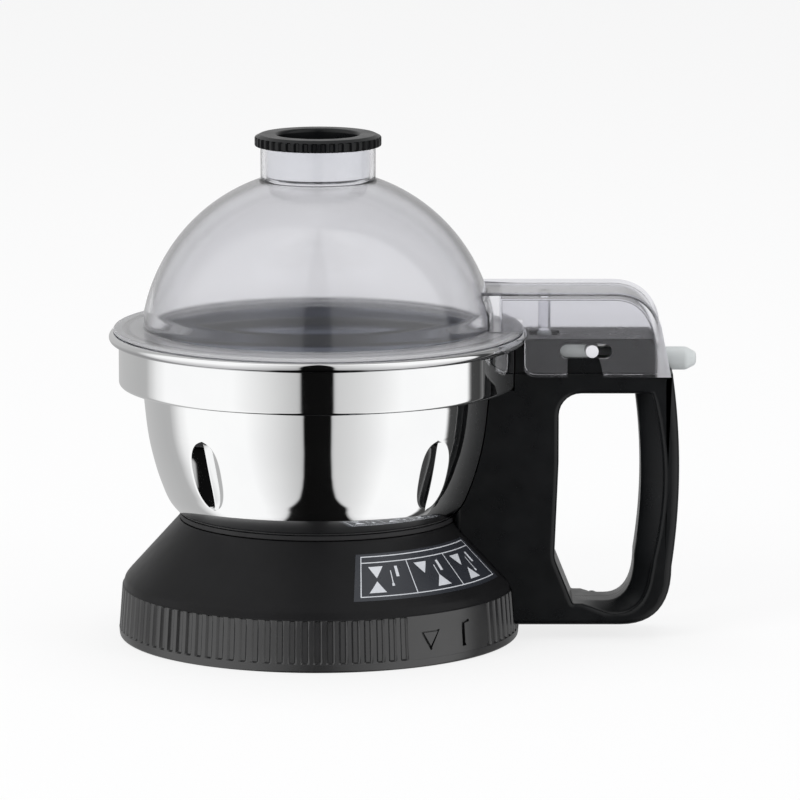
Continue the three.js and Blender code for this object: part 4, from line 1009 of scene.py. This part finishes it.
def make_arm():
    outer = arm_outline(0, ARM_SKIRT_Z, ARM_START_X)
    outer += rounded([(ARM_SKIRT_X + ARM_SKIRT_SLANT, ARM_SKIRT_Z), (ARM_SKIRT_X, ARM_SKIRT_Z, 5),
                      (ARM_SKIRT_X, ARM_START_Z)], 6, closed=False)
    outer.append((ARM_START_X, ARM_START_Z))
    arm = plate("lid_arm_clear", divided(outer, 3), ARM_HALF, 1.6)
    cavity = arm_outline(LID_WALL, BELOW_SKIRT_Z, ARM_CAVITY_X) + [(ARM_CAVITY_X, BELOW_SKIRT_Z)]
    cut(arm, plate("cavity", cavity, ARM_HALF - LID_WALL, 0.8, 3))
    join(arm, rod("post", POST_RADIUS, POST_FOOT_Z, ARM_TOP_Z - 1, 0.8, 48, centre=(POST_X, 0, 0)))
    dome = arc((0, DOME_CENTRE_Z), DOME_RADIUS, dome_foot_angle(), 71, 24)
    room = offset([
        (FLANGE_RADIUS, 128), (FLANGE_RADIUS, FLANGE_TOP_Z), (dome[0][0], FLANGE_TOP_Z + 0.01), *dome], GAP)
    rim = RIM_RADIUS + GAP
    cut(arm, lathe("dome_room", [(0, 128), *room, (0, NECK_TOP_Z)]))
    cut(arm, lathe("bead_room", [(0, 100), (rim, 100), (rim, FLANGE_TOP_Z), (0, FLANGE_TOP_Z)]))
    cut(arm, box("knob_mouth", (KNOB_MOUTH_X, -KNOB_MOUTH_HALF, 110),
                 (153, KNOB_MOUTH_HALF, KNOB_Z + KNOB_RADIUS + KNOB_MOUTH_ROOM)))
    mouth = [
        (MOUTH_X, MOUTH_FOOT_Z), *arc((MOUTH_X + PIN_RADIUS, SLOT_Z - PIN_RADIUS), PIN_RADIUS, 180, 90, 5),
        (LEDGE_X, SLOT_Z), (LEDGE_X, SLOT_Z - SLOT_RADIUS), (MOUTH_SLANT_X, ARM_SKIRT_Z),
        (MOUTH_SLANT_X, MOUTH_FOOT_Z),
    ]
    for side in (-1, 1):
        ends = sorted((side * (ARM_HALF - LID_WALL - 1), side * (ARM_HALF + 2)))
        cut(arm, slot_tool(*ends), pushed("mouth", mouth, *ends))
    piece(arm, "lid", "clear_plastic", "lid_arm", "hood_plastic", 40)


def slot_tool(near, far):
    ends = ((SLOT_RIGHT_X, 90, -90), (SLOT_LEFT_X, -90, -270))
    outline = [point for x, start, stop in ends for point in arc((x, SLOT_Z), SLOT_RADIUS, start, stop, 16)]
    return pushed("slot", outline, near, far)


# Handle: two halves that meet on the middle plane
def bulged(start, end, widest_x, pull_z):
    """Line from one end to the other that bulges to a place in X halfway, pulled from a height."""
    return quadratic(start, (2 * widest_x - (start[0] + end[0]) / 2, pull_z), end, 20)


def handle_outline():
    foot, top = (GRIP_CORNER_X, HANDLE_FOOT_Z), (GRIP_TOP_X, HANDLE_SHOULDER_Z)
    points = [(HANDLE_START_X, HANDLE_FOOT_Z), foot]
    points += quadratic(foot, (GRIP_FOOT[0], HANDLE_FOOT_Z), GRIP_FOOT, 12)
    points += bulged(GRIP_FOOT, top, GRIP_BULGE_X, (GRIP_FOOT[1] + ARM_SKIRT_Z) / 2)
    points.append((HANDLE_START_X, HANDLE_SHOULDER_Z))
    return divided(points, 4)


def hole_outline():
    """Finger hole in the middle plane, clockwise from its top right."""
    right_top, floor_right = (HOLE_RIGHT_TOP_X, HOLE_TOP_Z), (HOLE_FLOOR_RIGHT_X, HOLE_FLOOR_Z)
    pull_z = (HOLE_RIGHT_FOOT[1] + HOLE_TOP_Z) / 2
    points = [right_top, *bulged(right_top, HOLE_RIGHT_FOOT, HOLE_RIGHT_BULGE_X, pull_z)]
    points += quadratic(HOLE_RIGHT_FOOT, (HOLE_RIGHT_FOOT[0], HOLE_FLOOR_Z), floor_right, 12)
    points += rounded([
        floor_right, (HOLE_FLOOR_LEFT_X, HOLE_FLOOR_Z, 1.2), (*HOLE_WAIST, 12),
        (HOLE_LEFT_X, HOLE_TOP_Z - HOLE_BEND, HOLE_BEND), (HOLE_LEFT_X, HOLE_TOP_Z, 9.5), right_top,
    ], 7, closed=False)[1:-1]
    return divided(points, 4)


def flare_at(x, z):
    """How far the finger hole flares at a place of its outline: wide along the grip, gone at the column."""
    if x > FLARE_GRIP_X and z > FLARE_GRIP_Z:
        up = min(1, (HOLE_TOP_Z - z) / (HOLE_TOP_Z - FLARE_GRIP_Z))
        return FLARE_GRIP + FLARE_SWELL * math.sin(math.pi * up)
    start, stop = FLARE_FLOOR_X
    return FLARE_FLOOR * max(0, min(1, (x - start) / (stop - start))) if z < FLARE_GRIP_Z + 1 else 0


def hole_tool():
    outline = hole_outline()
    sections = [[(x, -1, z) for x, z in outline]]
    ease_y = HANDLE_HALF - HOLE_EASE
    steps = 10
    for k in range(steps + 1):
        y = FLARE_START_Y + (ease_y - FLARE_START_Y) * k / steps
        sections.append([(x, y, z) for x, z in flared(outline, (k / steps) ** FLARE_POWER)])
    wide = flared(outline, 1)
    for angle in quarter(5)[1:]:
        grow = HOLE_EASE * (1 - math.cos(angle))
        ring = [along_normal(wide, i, grow) for i in range(len(wide))]
        sections.append([(x, ease_y + HOLE_EASE * math.sin(angle), z) for x, z in ring])
    sections.append([(x, HANDLE_HALF + 3, z) for x, _, z in sections[-1]])
    return loft("finger_hole", sections)


def flared(outline, share):
    """The finger hole's outline moved by a share of its flare, sideways in its upper part."""
    points = []
    for i, (x, z) in enumerate(outline):
        distance = flare_at(x, z) * share
        points.append((x + distance, z) if z > FLARE_SIDEWAYS_Z else along_normal(outline, i, distance))
    return points


def along_normal(outline, i, distance):
    """A point of a clockwise outline moved outwards."""
    before, after = Vector(outline[i - 1]), Vector(outline[(i + 1) % len(outline)])
    along = (after - before).normalized()
    return tuple(Vector(outline[i]) + Vector((-along.y, along.x)) * distance)


def eased_half(name, outline, half, ease_at):
    """One half of a plate, from the middle plane out, with its side edge rounded."""
    sections = [[(x, GAP / 2, z) for x, z in outline]]
    for angle in quarter(6):
        ring = []
        for i, (x, z) in enumerate(outline):
            ease = ease_at(z)
            px, pz = along_normal(outline, i, ease * (1 - math.cos(angle)))
            ring.append((px, half - ease + ease * math.sin(angle), pz))
        sections.append(ring)
    return loft(name, sections)


def jar_room(distance):
    """Tools for the room that the bowl and the base need, grown by a distance."""
    base = offset([
        (LIP_RADIUS, -8), (LIP_RADIUS, LIP_HEIGHT), (RIB_TOP_RADIUS, RIB_TOP_Z),
        (SHOULDER_RADIUS, SHOULDER_Z), (CONE_TOP_RADIUS, CONE_TOP_Z), (CONE_TOP_RADIUS, COLLAR_TOP_Z),
        (SEAT_RADIUS, SEAT_TOP_Z)], distance)
    band, rim = BAND_RADIUS + distance, RIM_RADIUS + distance
    band_foot, rim_foot = BAND_STEP_Z - distance, BEAD_Z - BEAD_RADIUS - distance
    outlines = [
        [(0, BOWL_FLOOR_Z), *offset(bowl_line(), distance), (BOWL_RADIUS + distance, BAND_STEP_Z + 1),
         (0, BAND_STEP_Z + 1)],
        [(0, band_foot), (band, band_foot), (band, BEAD_Z), (0, BEAD_Z)],
        [(0, rim_foot), (rim, rim_foot), (rim, 140), (0, 140)],
        [(0, -8), *base, (0, SEAT_TOP_Z)],
    ]
    return [lathe(f"room_{i}", outline) for i, outline in enumerate(outlines)]


def make_handle_half(side):
    """Half of the handle; side is -1 for the front and 1 for the back."""
    place = "front" if side < 0 else "back"
    half = eased_half(f"handle_{place}", handle_outline(), HANDLE_HALF,
                      lambda z: SHOULDER_EASE if z > HANDLE_SHOULDER_Z - 0.1 else HANDLE_EASE)
    foot_x = ARM_FOOT_X - LID_WALL - CORE_ROOM
    core = rounded([
        (HANDLE_START_X, CORE_TOP_Z), (foot_x - ARM_SLOPE * (CORE_TOP_Z - ARM_SKIRT_Z), CORE_TOP_Z, 1.5),
        (foot_x, ARM_SKIRT_Z), (foot_x, BELOW_SKIRT_Z), (HANDLE_START_X, BELOW_SKIRT_Z)], 4)
    join(half, eased_half("core", divided(core, 5)[::-1], CORE_HALF, lambda z: 1))
    cut(half, hole_tool(), *jar_room(GAP))
    window = box("window", (0, -BRACKET_HALF, BRACKET_Z[0]), (90, BRACKET_HALF, BRACKET_Z[1]))
    cut(half, combine(join(*jar_room(BRACKET_ROOM)), "INTERSECT", [window]))
    room_start = PIN_X - SLIDE_BACK - CHEEK_REACH - SLIDE_IN - GAP
    room_end = PIN_X + SLIDE_BACK + SLIDE_OUT + GAP
    cut(half, box("slide_room", (room_start, -1, SLIDE_Z[0] - GAP),
                  (room_end, SLIDE_HALF + GAP, SLIDE_Z[1] + GAP)))
    bore_start = room_start + KNOB_BORE_START
    cut(half, rod("knob_bore", KNOB_RADIUS + GAP, bore_start, 170, 0, 48, "X", (0, 0, KNOB_Z)))
    cut(half, slot_tool(10, 20))
    cut(half, box("rod_pocket", (POST_X - ROD_POCKET_HALF, -1, ROD_POCKET_Z),
                  (POST_X + ROD_POCKET_HALF, ROD_POCKET_HALF, ROD_TOP_CUT_Z)))
    cut(half, rod("rod_bore", ROD_BORE, -5, ROD_TOP_CUT_Z, 0, 32, centre=(POST_X, 0, 0)))
    for radius, start, end, z in SCREW_BORES:
        cut(half, rod("screw_bore", radius, start, end, 0, 32, "X", (0, PAIR_Y, z)))
    if side > 0:
        for x, z in HANDLE_SCREWS.values():
            cut(half, rod("head_room", HEAD_ROOM, HEAD_ROOM_Y, 20, 0, 32, "Y", (x, 0, z)))
    else:
        half.data.transform(Matrix.Scale(-1, 4, (0, 1, 0)))
        half.data.flip_normals()
    piece(half, "jar", "handle_black", f"handle_{place}_half", sharp=38)


def make_screw(name, node, axis, ends, place):
    """Pan-head screw with a cross recess; ends are the places of its head and tip along its axis."""
    head, tip = ends
    way = 1 if head > tip else -1
    seat = head - way * HEAD_HEIGHT
    profile = rounded([
        (0, tip), (SCREW_TIP_RADIUS, tip + way * 0.8), (SCREW_RADIUS, tip + way * 2),
        (SCREW_RADIUS, seat), (HEAD_RADIUS, seat, 0.3), (HEAD_RADIUS, head - way * 0.9, 0.8),
        (HEAD_TOP_RADIUS, head, 0.8), (0, head)], 3)
    screw = lathe(name, profile, 40, axis=axis, centre=place)
    for wide, tall in (RECESS, RECESS[::-1]):
        spans = [(-wide, wide), (-tall, tall)]
        spans.insert("XYZ".index(axis), sorted((head - way * RECESS_DEPTH, head + way)))
        low, high = ([span[end] + p for span, p in zip(spans, place)] for end in (0, 1))
        cut(screw, box("recess", low, high))
    piece(screw, "jar", "plain_steel", node)


def make_screws():
    for name, (x, z) in HANDLE_SCREWS.items():
        make_screw(f"screw_{name}", f"handle_screw_{name}", "Y", HANDLE_SCREW_Y, (x, 0, z))
    pairs = (
        ("column", "bracket", BRACKET_SCREW_X, BRACKET_SCREW_Z),
        ("skirt", "base", BASE_SCREW_X, BASE_SCREW_Z),
    )
    for place, y in (("front", -PAIR_Y), ("back", PAIR_Y)):
        for name, node, ends, z in pairs:
            make_screw(f"{name}_screw_{place}", f"{node}_screw_{place}", "X", ends, (0, y, z))


# Cap
def knurl_form(r, z, angle):
    """Leaves narrow teeth on the cap's edge."""
    if r < CAP_RADIUS - 0.3 or z > KNURL_TOP_Z:
        return r, z
    share = (angle / TURN * CAP_KNURLS) % 1
    return r - KNURL_DEPTH * valley(share, *KNURL_VALLEY) * min(1, (KNURL_TOP_Z - z) / FADE), z


def make_cap():
    under, well = CAP_WELL_Z
    profile = rounded([
        (0, well), (CAP_OPENING, well, 1), (CAP_OPENING, CAP_TOP_Z, 1.6), (CAP_RADIUS - 2.4, CAP_TOP_Z, 1),
        (CAP_RADIUS, CAP_TOP_Z - 1.2, 0.7), (CAP_RADIUS, CAP_FOOT_Z, 0.5), (CAP_STEM_RADIUS, CAP_FOOT_Z),
        (CAP_STEM_RADIUS, under, 0.5), (0, under)], 4)
    cap = lathe("cap", divided(profile, 3), CAP_KNURLS * 12, knurl_form)
    piece(cap, "cap", "handle_black", "cap_stopper", sharp=30)
    inner, floor = CUP_RADIUS - CUP_WALL, CUP_FOOT_Z + CUP_WALL
    cup = rounded([
        (0, CUP_FOOT_Z), (CUP_RADIUS, CUP_FOOT_Z, 1.6), (CUP_RADIUS, NECK_TOP_Z, 0.2),
        (inner, NECK_TOP_Z, 0.2), (inner, floor, 0.9), (0, floor)], 6)
    piece(lathe("cup", divided(cup, 2)), "cap", "polished_steel", "cap_cup")


# Lock slider and its cross pin, and the interlock's bar and spring
def make_slider():
    start, tip = PIN_X - SLIDE_BACK, KNOB_TIP_X
    chamfer, ease = KNOB_CHAMFER
    profile = rounded([
        (0, start), (KNOB_RADIUS, start, 0.3), (KNOB_RADIUS, tip - chamfer, 4), (KNOB_RADIUS - ease, tip, 2),
        (0, tip)], 7)
    slider = lathe("slider", divided(profile, 6), 64, axis="X", centre=(0, 0, KNOB_Z))
    foot, top = SLIDE_Z
    join(slider, box("block", (start, -SLIDE_HALF, foot), (PIN_X + SLIDE_FRONT, SLIDE_HALF, top), 0.5))
    for low, high in ((-SLIDE_HALF, -CHEEK_INNER), (CHEEK_INNER, SLIDE_HALF)):
        join(slider, box("cheek", (start - CHEEK_REACH, low, foot), (start + 1, high, top), 0.5))
    cut(slider, rod("pin_bore", PIN_RADIUS + GAP, -20, 20, 0, 40, "Y", (PIN_X, 0, SLOT_Z)))
    piece(slider, "lock", "grey_plastic", "lock_slider")
    pin = rod("pin", PIN_RADIUS, -PIN_HALF, PIN_HALF, 0.5, 48, "Y", (PIN_X, 0, SLOT_Z))
    piece(pin, "lock", "white_plastic", "lock_pin")


def make_interlock():
    bar = rod("interlock_bar", BAR_RADIUS, *BAR_Z, 0.6, 40, centre=(POST_X, 0, 0))
    join(bar, rod("collar", COLLAR_RADIUS, *COLLAR_Z, 0.3, 40, centre=(POST_X, 0, 0)))
    piece(bar, "interlock", "grey_plastic", "interlock_rod")


def make_spring():
    """Return spring of the bar, built at one length; the real spring shortens as the bar goes down."""
    low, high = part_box("interlock_spring")
    foot, top = low[2] / MM + WIRE_RADIUS, high[2] / MM - WIRE_RADIUS
    sections = []
    for i in range(COIL_TURNS * COIL_STEPS + 1):
        angle = TURN * i / COIL_STEPS
        height = foot + (top - foot) * i / (COIL_TURNS * COIL_STEPS)
        wire = arc((COIL_RADIUS, height), WIRE_RADIUS, 0, 360, COIL_SIDES)[:-1]
        sections.append([(POST_X + out * math.cos(angle), out * math.sin(angle), up) for out, up in wire])
    spring = piece(loft("interlock_coil", sections), "jar", "plain_steel", "interlock_spring")
    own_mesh(spring)


# Drive: housing, shaft, blades and coupler
def make_drive():
    piece(lathe("housing", rounded(HOUSING_OUTLINE, 4), 96), "jar", "cast_alloy", "bearing_housing")
    piece(rod("shaft", SHAFT_RADIUS, *SHAFT_Z, 0.6), "drive", "plain_steel", "drive_shaft")
    piece(tube("spacer", SHAFT_BORE, STACK_RADIUS, *SPACER_Z, 0.4), "drive", "plain_steel", "blade_spacer")
    piece(tube("top_washer", SHAFT_BORE, STACK_RADIUS, *TOP_WASHER_Z), "drive", "plain_steel", "blade_washer")
    make_blade_nut()
    for name, (node, z, rise, turn) in BLADES.items():
        make_blade(name, node, z, rise, turn)
    make_coupler()
    foot, top = CLAMP_NUT_Z
    nut = lathe("clamp_nut", rounded([(HOUSING_HOLE, foot, 0.3), (CLAMP_NUT_RADIUS, foot, 0.8),
                                      (CLAMP_NUT_RADIUS, top, 0.8), (HOUSING_HOLE, top, 0.3)], 2), 6)
    piece(nut, "jar", "cast_alloy", "housing_nut", sharp=20)
    washer = tube("clamp_washer", HOUSING_HOLE, CLAMP_WASHER_RADIUS, *CLAMP_WASHER_Z)
    piece(washer, "jar", "plain_steel", "housing_washer")


def make_blade_nut():
    low, high = BLADE_NUT_Z
    wide, narrow, tip = CROWN_RADII
    flats, hex_top = BLADE_NUT_RADIUS, low + BLADE_NUT_HEX
    hexagon = lathe("lock_nut", [(0, low), (flats, low), (flats, hex_top), (0, hex_top)], 6)
    crown = [(0, low), (wide, low, 0.3), (narrow, hex_top + 0.2, 0.6), (tip, high, 1.6), (0, high)]
    join(hexagon, lathe("crown", rounded(crown, 5), 48))
    cut(hexagon, rod("nut_bore", SHAFT_BORE, low - 6.3, SHAFT_Z[1] + GAP, 0, 40))
    piece(eased(hexagon, 0.25), "drive", "plain_steel", "blade_nut", sharp=30)


def make_blade(name, node, z, rise, turn):
    """Blade with two wings that rise from their bend to their tip and are ground thin along one edge."""
    sections = []
    for k in range(-BLADE_STEPS, BLADE_STEPS + 1):
        x = BLADE_REACH * k / BLADE_STEPS
        out = max(0, abs(x) - BLADE_BEND) / (BLADE_REACH - BLADE_BEND)
        half = BLADE_HALF - BLADE_TAPER * out - TIP_TAPER * max(0, out - TIP_START) / (1 - TIP_START)
        edge = half - EDGE_SLANT * out
        ground = BLADE_GROUND * min(1, out * GROUND_RATE)
        thin = BLADE_EDGE if out > 0 else BLADE_SHEET
        outline = [(-half, 0), (-half, BLADE_SHEET), (edge - ground, BLADE_SHEET), (edge, thin), (edge, 0)]
        way = 1 if k > 0 else -1
        sections.append([(x, way * y, rise * out + h) for y, h in outline])
    blade = loft(name, sections)
    cut(blade, rod("blade_bore", SHAFT_BORE, -3, 5, 0, 40))
    blade.data.transform(Matrix.Rotation(degrees(turn), 4, "Z") @ Matrix.Translation((0, 0, z * MM)))
    piece(blade, "drive", "plain_steel", node, sharp=20)


def make_coupler():
    foot, top = COUPLER_Z
    inner, outer, half = TOOTH
    coupler = lathe("coupler_body", rounded([
        (0, foot), (COUPLER_HUB, foot, 0.8), (COUPLER_HUB, top - 4, 1), (COUPLER_RADIUS, top - 4, 0.8),
        (COUPLER_RADIUS, top, 0.8), (0, top)], 4), 96)
    for i in range(COUPLER_TEETH):
        tooth = box(f"tooth_{i}", (inner, -half, foot), (outer, half, top - 2), 0.9, 3)
        tooth.data.transform(Matrix.Rotation(TURN * i / COUPLER_TEETH, 4, "Z"))
        join(coupler, tooth)
    cut(coupler, rod("coupler_bore", SHAFT_BORE, SHAFT_Z[0] - GAP, 30, 0, 48))
    piece(coupler, "drive", "black_rubber", "drive_coupler", sharp=30)


# Guide panel on the cone: bare strip over three cells with triangles and bars. Places on it are (s, t), with
# s from 0 to 1 along it and t from 0 at its foot to 1 at its top.
LABEL_TURN = 42.3
LABEL_FOOT = 4.4
LABEL_TALL = 20
LABEL_SPAN = (57.6, 52.2)
LABEL_COLUMNS = 24
LABEL_LIFT = (0.02, 0.1)
PRINT_LIFT = (0.1, 0.14)
LINE_S = 0.006
LINE_T = 0.022
CELL_TOP = 0.83
CONE_SLANT = math.hypot(SHOULDER_RADIUS - CONE_TOP_RADIUS, CONE_TOP_Z - SHOULDER_Z)
FRAME_LINES = {
    "frame_foot": ((0, 1), (0, LINE_T)), "frame_top": ((0, 1), (1 - LINE_T, 1)),
    "cell_top": ((0, 1), (CELL_TOP, CELL_TOP + LINE_T)), "frame_left": ((0, LINE_S), (0, 1)),
    "frame_right": ((1 - LINE_S, 1), (0, 1)), "divider_1": ((0.33, 0.33 + LINE_S), (0, CELL_TOP)),
    "divider_2": ((0.663, 0.663 + LINE_S), (0, CELL_TOP)),
}
# Marks of one cell; the triangle that points up stands elsewhere in each cell
CELL_MARKS = {
    "down": [(0.05, 0.74), (0.15, 0.74), (0.1, 0.46)],
    "up": [(0.1, 0.38), (0.05, 0.1), (0.15, 0.1)],
    "bar": [(0.23, 0.72), (0.25, 0.72), (0.25, 0.46), (0.23, 0.46)],
    "line": [(0.195, 0.62), (0.201, 0.62), (0.201, 0.3), (0.195, 0.3)],
    "dot": [(0.19, 0.3), (0.206, 0.3), (0.206, 0.24), (0.19, 0.24)],
}
UP_SHIFTS = (0, 0.1, 0.04)


def on_label(s, t, lift):
    """Place on the cone, lifted off it by a distance."""
    span = LABEL_SPAN[0] + (LABEL_SPAN[1] - LABEL_SPAN[0]) * t
    angle = degrees(LABEL_TURN + (s - 0.5) * span - 90)
    up = (LABEL_FOOT + t * LABEL_TALL) / CONE_SLANT
    slope = (SHOULDER_RADIUS - CONE_TOP_RADIUS) / CONE_SLANT
    r = SHOULDER_RADIUS + (CONE_TOP_RADIUS - SHOULDER_RADIUS) * up + lift * math.sqrt(1 - slope ** 2)
    z = SHOULDER_Z + (CONE_TOP_Z - SHOULDER_Z) * up + lift * slope
    return r * math.cos(angle), r * math.sin(angle), z


def label_grid(name, lifts, s_range, t_range, slot, look):
    """Sheet that follows the cone over a wide stretch."""
    (low, high), (foot, top) = lifts, t_range
    corners = ((foot, low), (top, low), (top, high), (foot, high))
    sections = []
    for k in range(LABEL_COLUMNS + 1):
        s = s_range[0] + (s_range[1] - s_range[0]) * k / LABEL_COLUMNS
        sections.append([on_label(s, t, lift) for t, lift in corners])
    piece(loft(name, sections), "jar", slot, look=look)


def make_label():
    label_grid("label_sheet", LABEL_LIFT, (-0.035, 1.03), (-0.09, 1.06), "base_black", "label_ground")
    for name, ranges in FRAME_LINES.items():
        label_grid(f"label_{name}", PRINT_LIFT, *ranges, "white_plastic", "label_print")
    for cell, shift in enumerate(UP_SHIFTS):
        for mark, outline in CELL_MARKS.items():
            left = cell / 3 + (shift if mark == "up" else 0)
            line = divided([(left + s, t) for s, t in outline], 0.03)
            sections = [[on_label(s, t, lift) for s, t in line] for lift in PRINT_LIFT]
            piece(loft(f"label_{mark}_{cell}", sections), "jar", "white_plastic", look="label_print")


# Stage: floor, world and lamps; a lamp has its place and size in metres and its power
FLOOR_HALF = 9000
FLOOR_Z = -0.05
FLOOR_TONE = (0.86, 0.86, 0.865)
FLOOR_GLOW = 0.8
LAMPS = {
    "key": ((-1.5, -1.6, 1.7), (1.2, 1.2), 22),
    "fill": ((1.8, -1.1, 0.9), (0.8, 1.4), 9),
    "top": ((0.1, 0.5, 2.2), (1.6, 1.2), 16),
}


def make_floor():
    shell = bmesh.new()
    bmesh.ops.create_grid(shell, x_segments=1, y_segments=1, size=FLOOR_HALF)
    floor = new_object("floor", shell)
    floor.location.z = FLOOR_Z * MM
    shader = Shader("floor")
    shader.set(Base_Color=(*FLOOR_TONE, 1), Roughness=0.9, Specular_IOR_Level=0.1)
    glow = shader.node("ShaderNodeEmission")
    shader.feed(glow.inputs["Color"], (*WHITE, 1))
    mix = shader.node("ShaderNodeMixShader")
    share = shader.number("MULTIPLY", shader.seen_directly(), FLOOR_GLOW)
    for socket, value in zip(mix.inputs, (share, shader.surface.outputs["BSDF"], glow.outputs[0])):
        shader.feed(socket, value)
    shader.feed(shader.tree.nodes["Material Output"].inputs["Surface"], mix.outputs[0])
    floor.data.materials.append(shader.material)
    floor.visible_glossy = False


# World for mirror-like surfaces: brightness by the angle from -Y towards +X, in degrees. A dark gap between
# two soft boxes faces the jar; it widens for reflections that look down, by the height of their direction.
STUDIO = [
    (-180, 0.55), (-126, 0.45), (-117, 0.45), (-106, 0.85), (-98, 1.0), (-50, 1.0), (-30, 0.76), (-9.9, 0.5),
    (9.9, 0.6), (24, 0.7), (34, 0.8), (50, 1.0), (96, 1.0), (99, 0.06), (107, 0.05), (113, 0.3), (130, 0.22),
    (150, 0.35), (180, 0.55),
]
DARK_GAP = [(-180, 1.0), (-9.9, 1.0), (-9.4, 0.008), (9.4, 0.008), (9.9, 1.0), (180, 1.0)]
NARROWING = [(-1, 0.12), (-0.93, 0.17), (-0.78, 0.33), (-0.71, 0.6), (-0.6, 0.85), (-0.42, 0.97), (1, 1.0)]
UNDERSIDE = [(-1, 0.02), (-0.94, 0.04), (-0.9, 0.75), (-0.8, 1.0), (1, 1.0)]
BY_TURN = (360, 1 / TURN)
BY_HEIGHT = (2, 0.5)


def make_world():
    world = bpy.data.worlds.new("studio")
    world.use_nodes = True
    world.cycles.sampling_method = "NONE"
    bpy.context.scene.world = world
    nodes = Nodes(world.node_tree)
    place = nodes.axes(nodes.node("ShaderNodeTexCoord").outputs["Generated"])
    angle = nodes.number("ARCTAN2", place["X"], nodes.number("MULTIPLY", place["Y"], -1))
    narrowed = nodes.number("MULTIPLY", angle, nodes.ramp(place["Z"], NARROWING, *BY_HEIGHT))
    studio = nodes.ramp(angle, STUDIO, *BY_TURN)
    studio = nodes.vector("MULTIPLY", studio, nodes.ramp(place["Z"], UNDERSIDE, *BY_HEIGHT))
    studio = nodes.vector("MULTIPLY", studio, nodes.ramp(narrowed, DARK_GAP, *BY_TURN))
    room = nodes.blend(nodes.seen_directly(), GREY_ROOM, WHITE)
    bounces = nodes.node("ShaderNodeLightPath").outputs["Glossy Depth"]
    background = world.node_tree.nodes["Background"].inputs
    nodes.feed(background["Color"], nodes.blend(nodes.number("GREATER_THAN", bounces, 0.5), room, studio))
    nodes.feed(background["Strength"], 1)


def make_lamps():
    for name, (place, size, power) in LAMPS.items():
        data = bpy.data.lights.new(name, "AREA")
        data.shape = "RECTANGLE"
        data.size, data.size_y = size
        data.energy = power
        lamp = bpy.data.objects.new(name, data)
        lamp.location = place
        lamp.visible_glossy = False
        lamp.visible_transmission = False
        towards = Vector(VIEW_CENTRE) * MM - lamp.location
        lamp.rotation_euler = towards.to_track_quat("-Z", "Y").to_euler()
        bpy.context.collection.objects.link(lamp)


def dress_kept_nodes():
    """Gives the CAD nodes that still show a material with some detail."""
    slots = {row["node"]: row["material_slot"] for row in frame["record"]["subparts"]}
    for name, node in frame["nodes"].items():
        for held in node.material_slots:
            held.material = MATERIALS[slots[name]]


make_camera()
dress_kept_nodes()
make_bowl()
make_seat_ring()
make_base()
make_lid()
make_arm()
for side in (-1, 1):
    make_handle_half(side)
make_screws()
make_cap()
make_slider()
make_interlock()
make_spring()
make_drive()
make_label()
make_floor()
make_world()
make_lamps()
bpy.context.scene.view_settings.view_transform = "Standard"
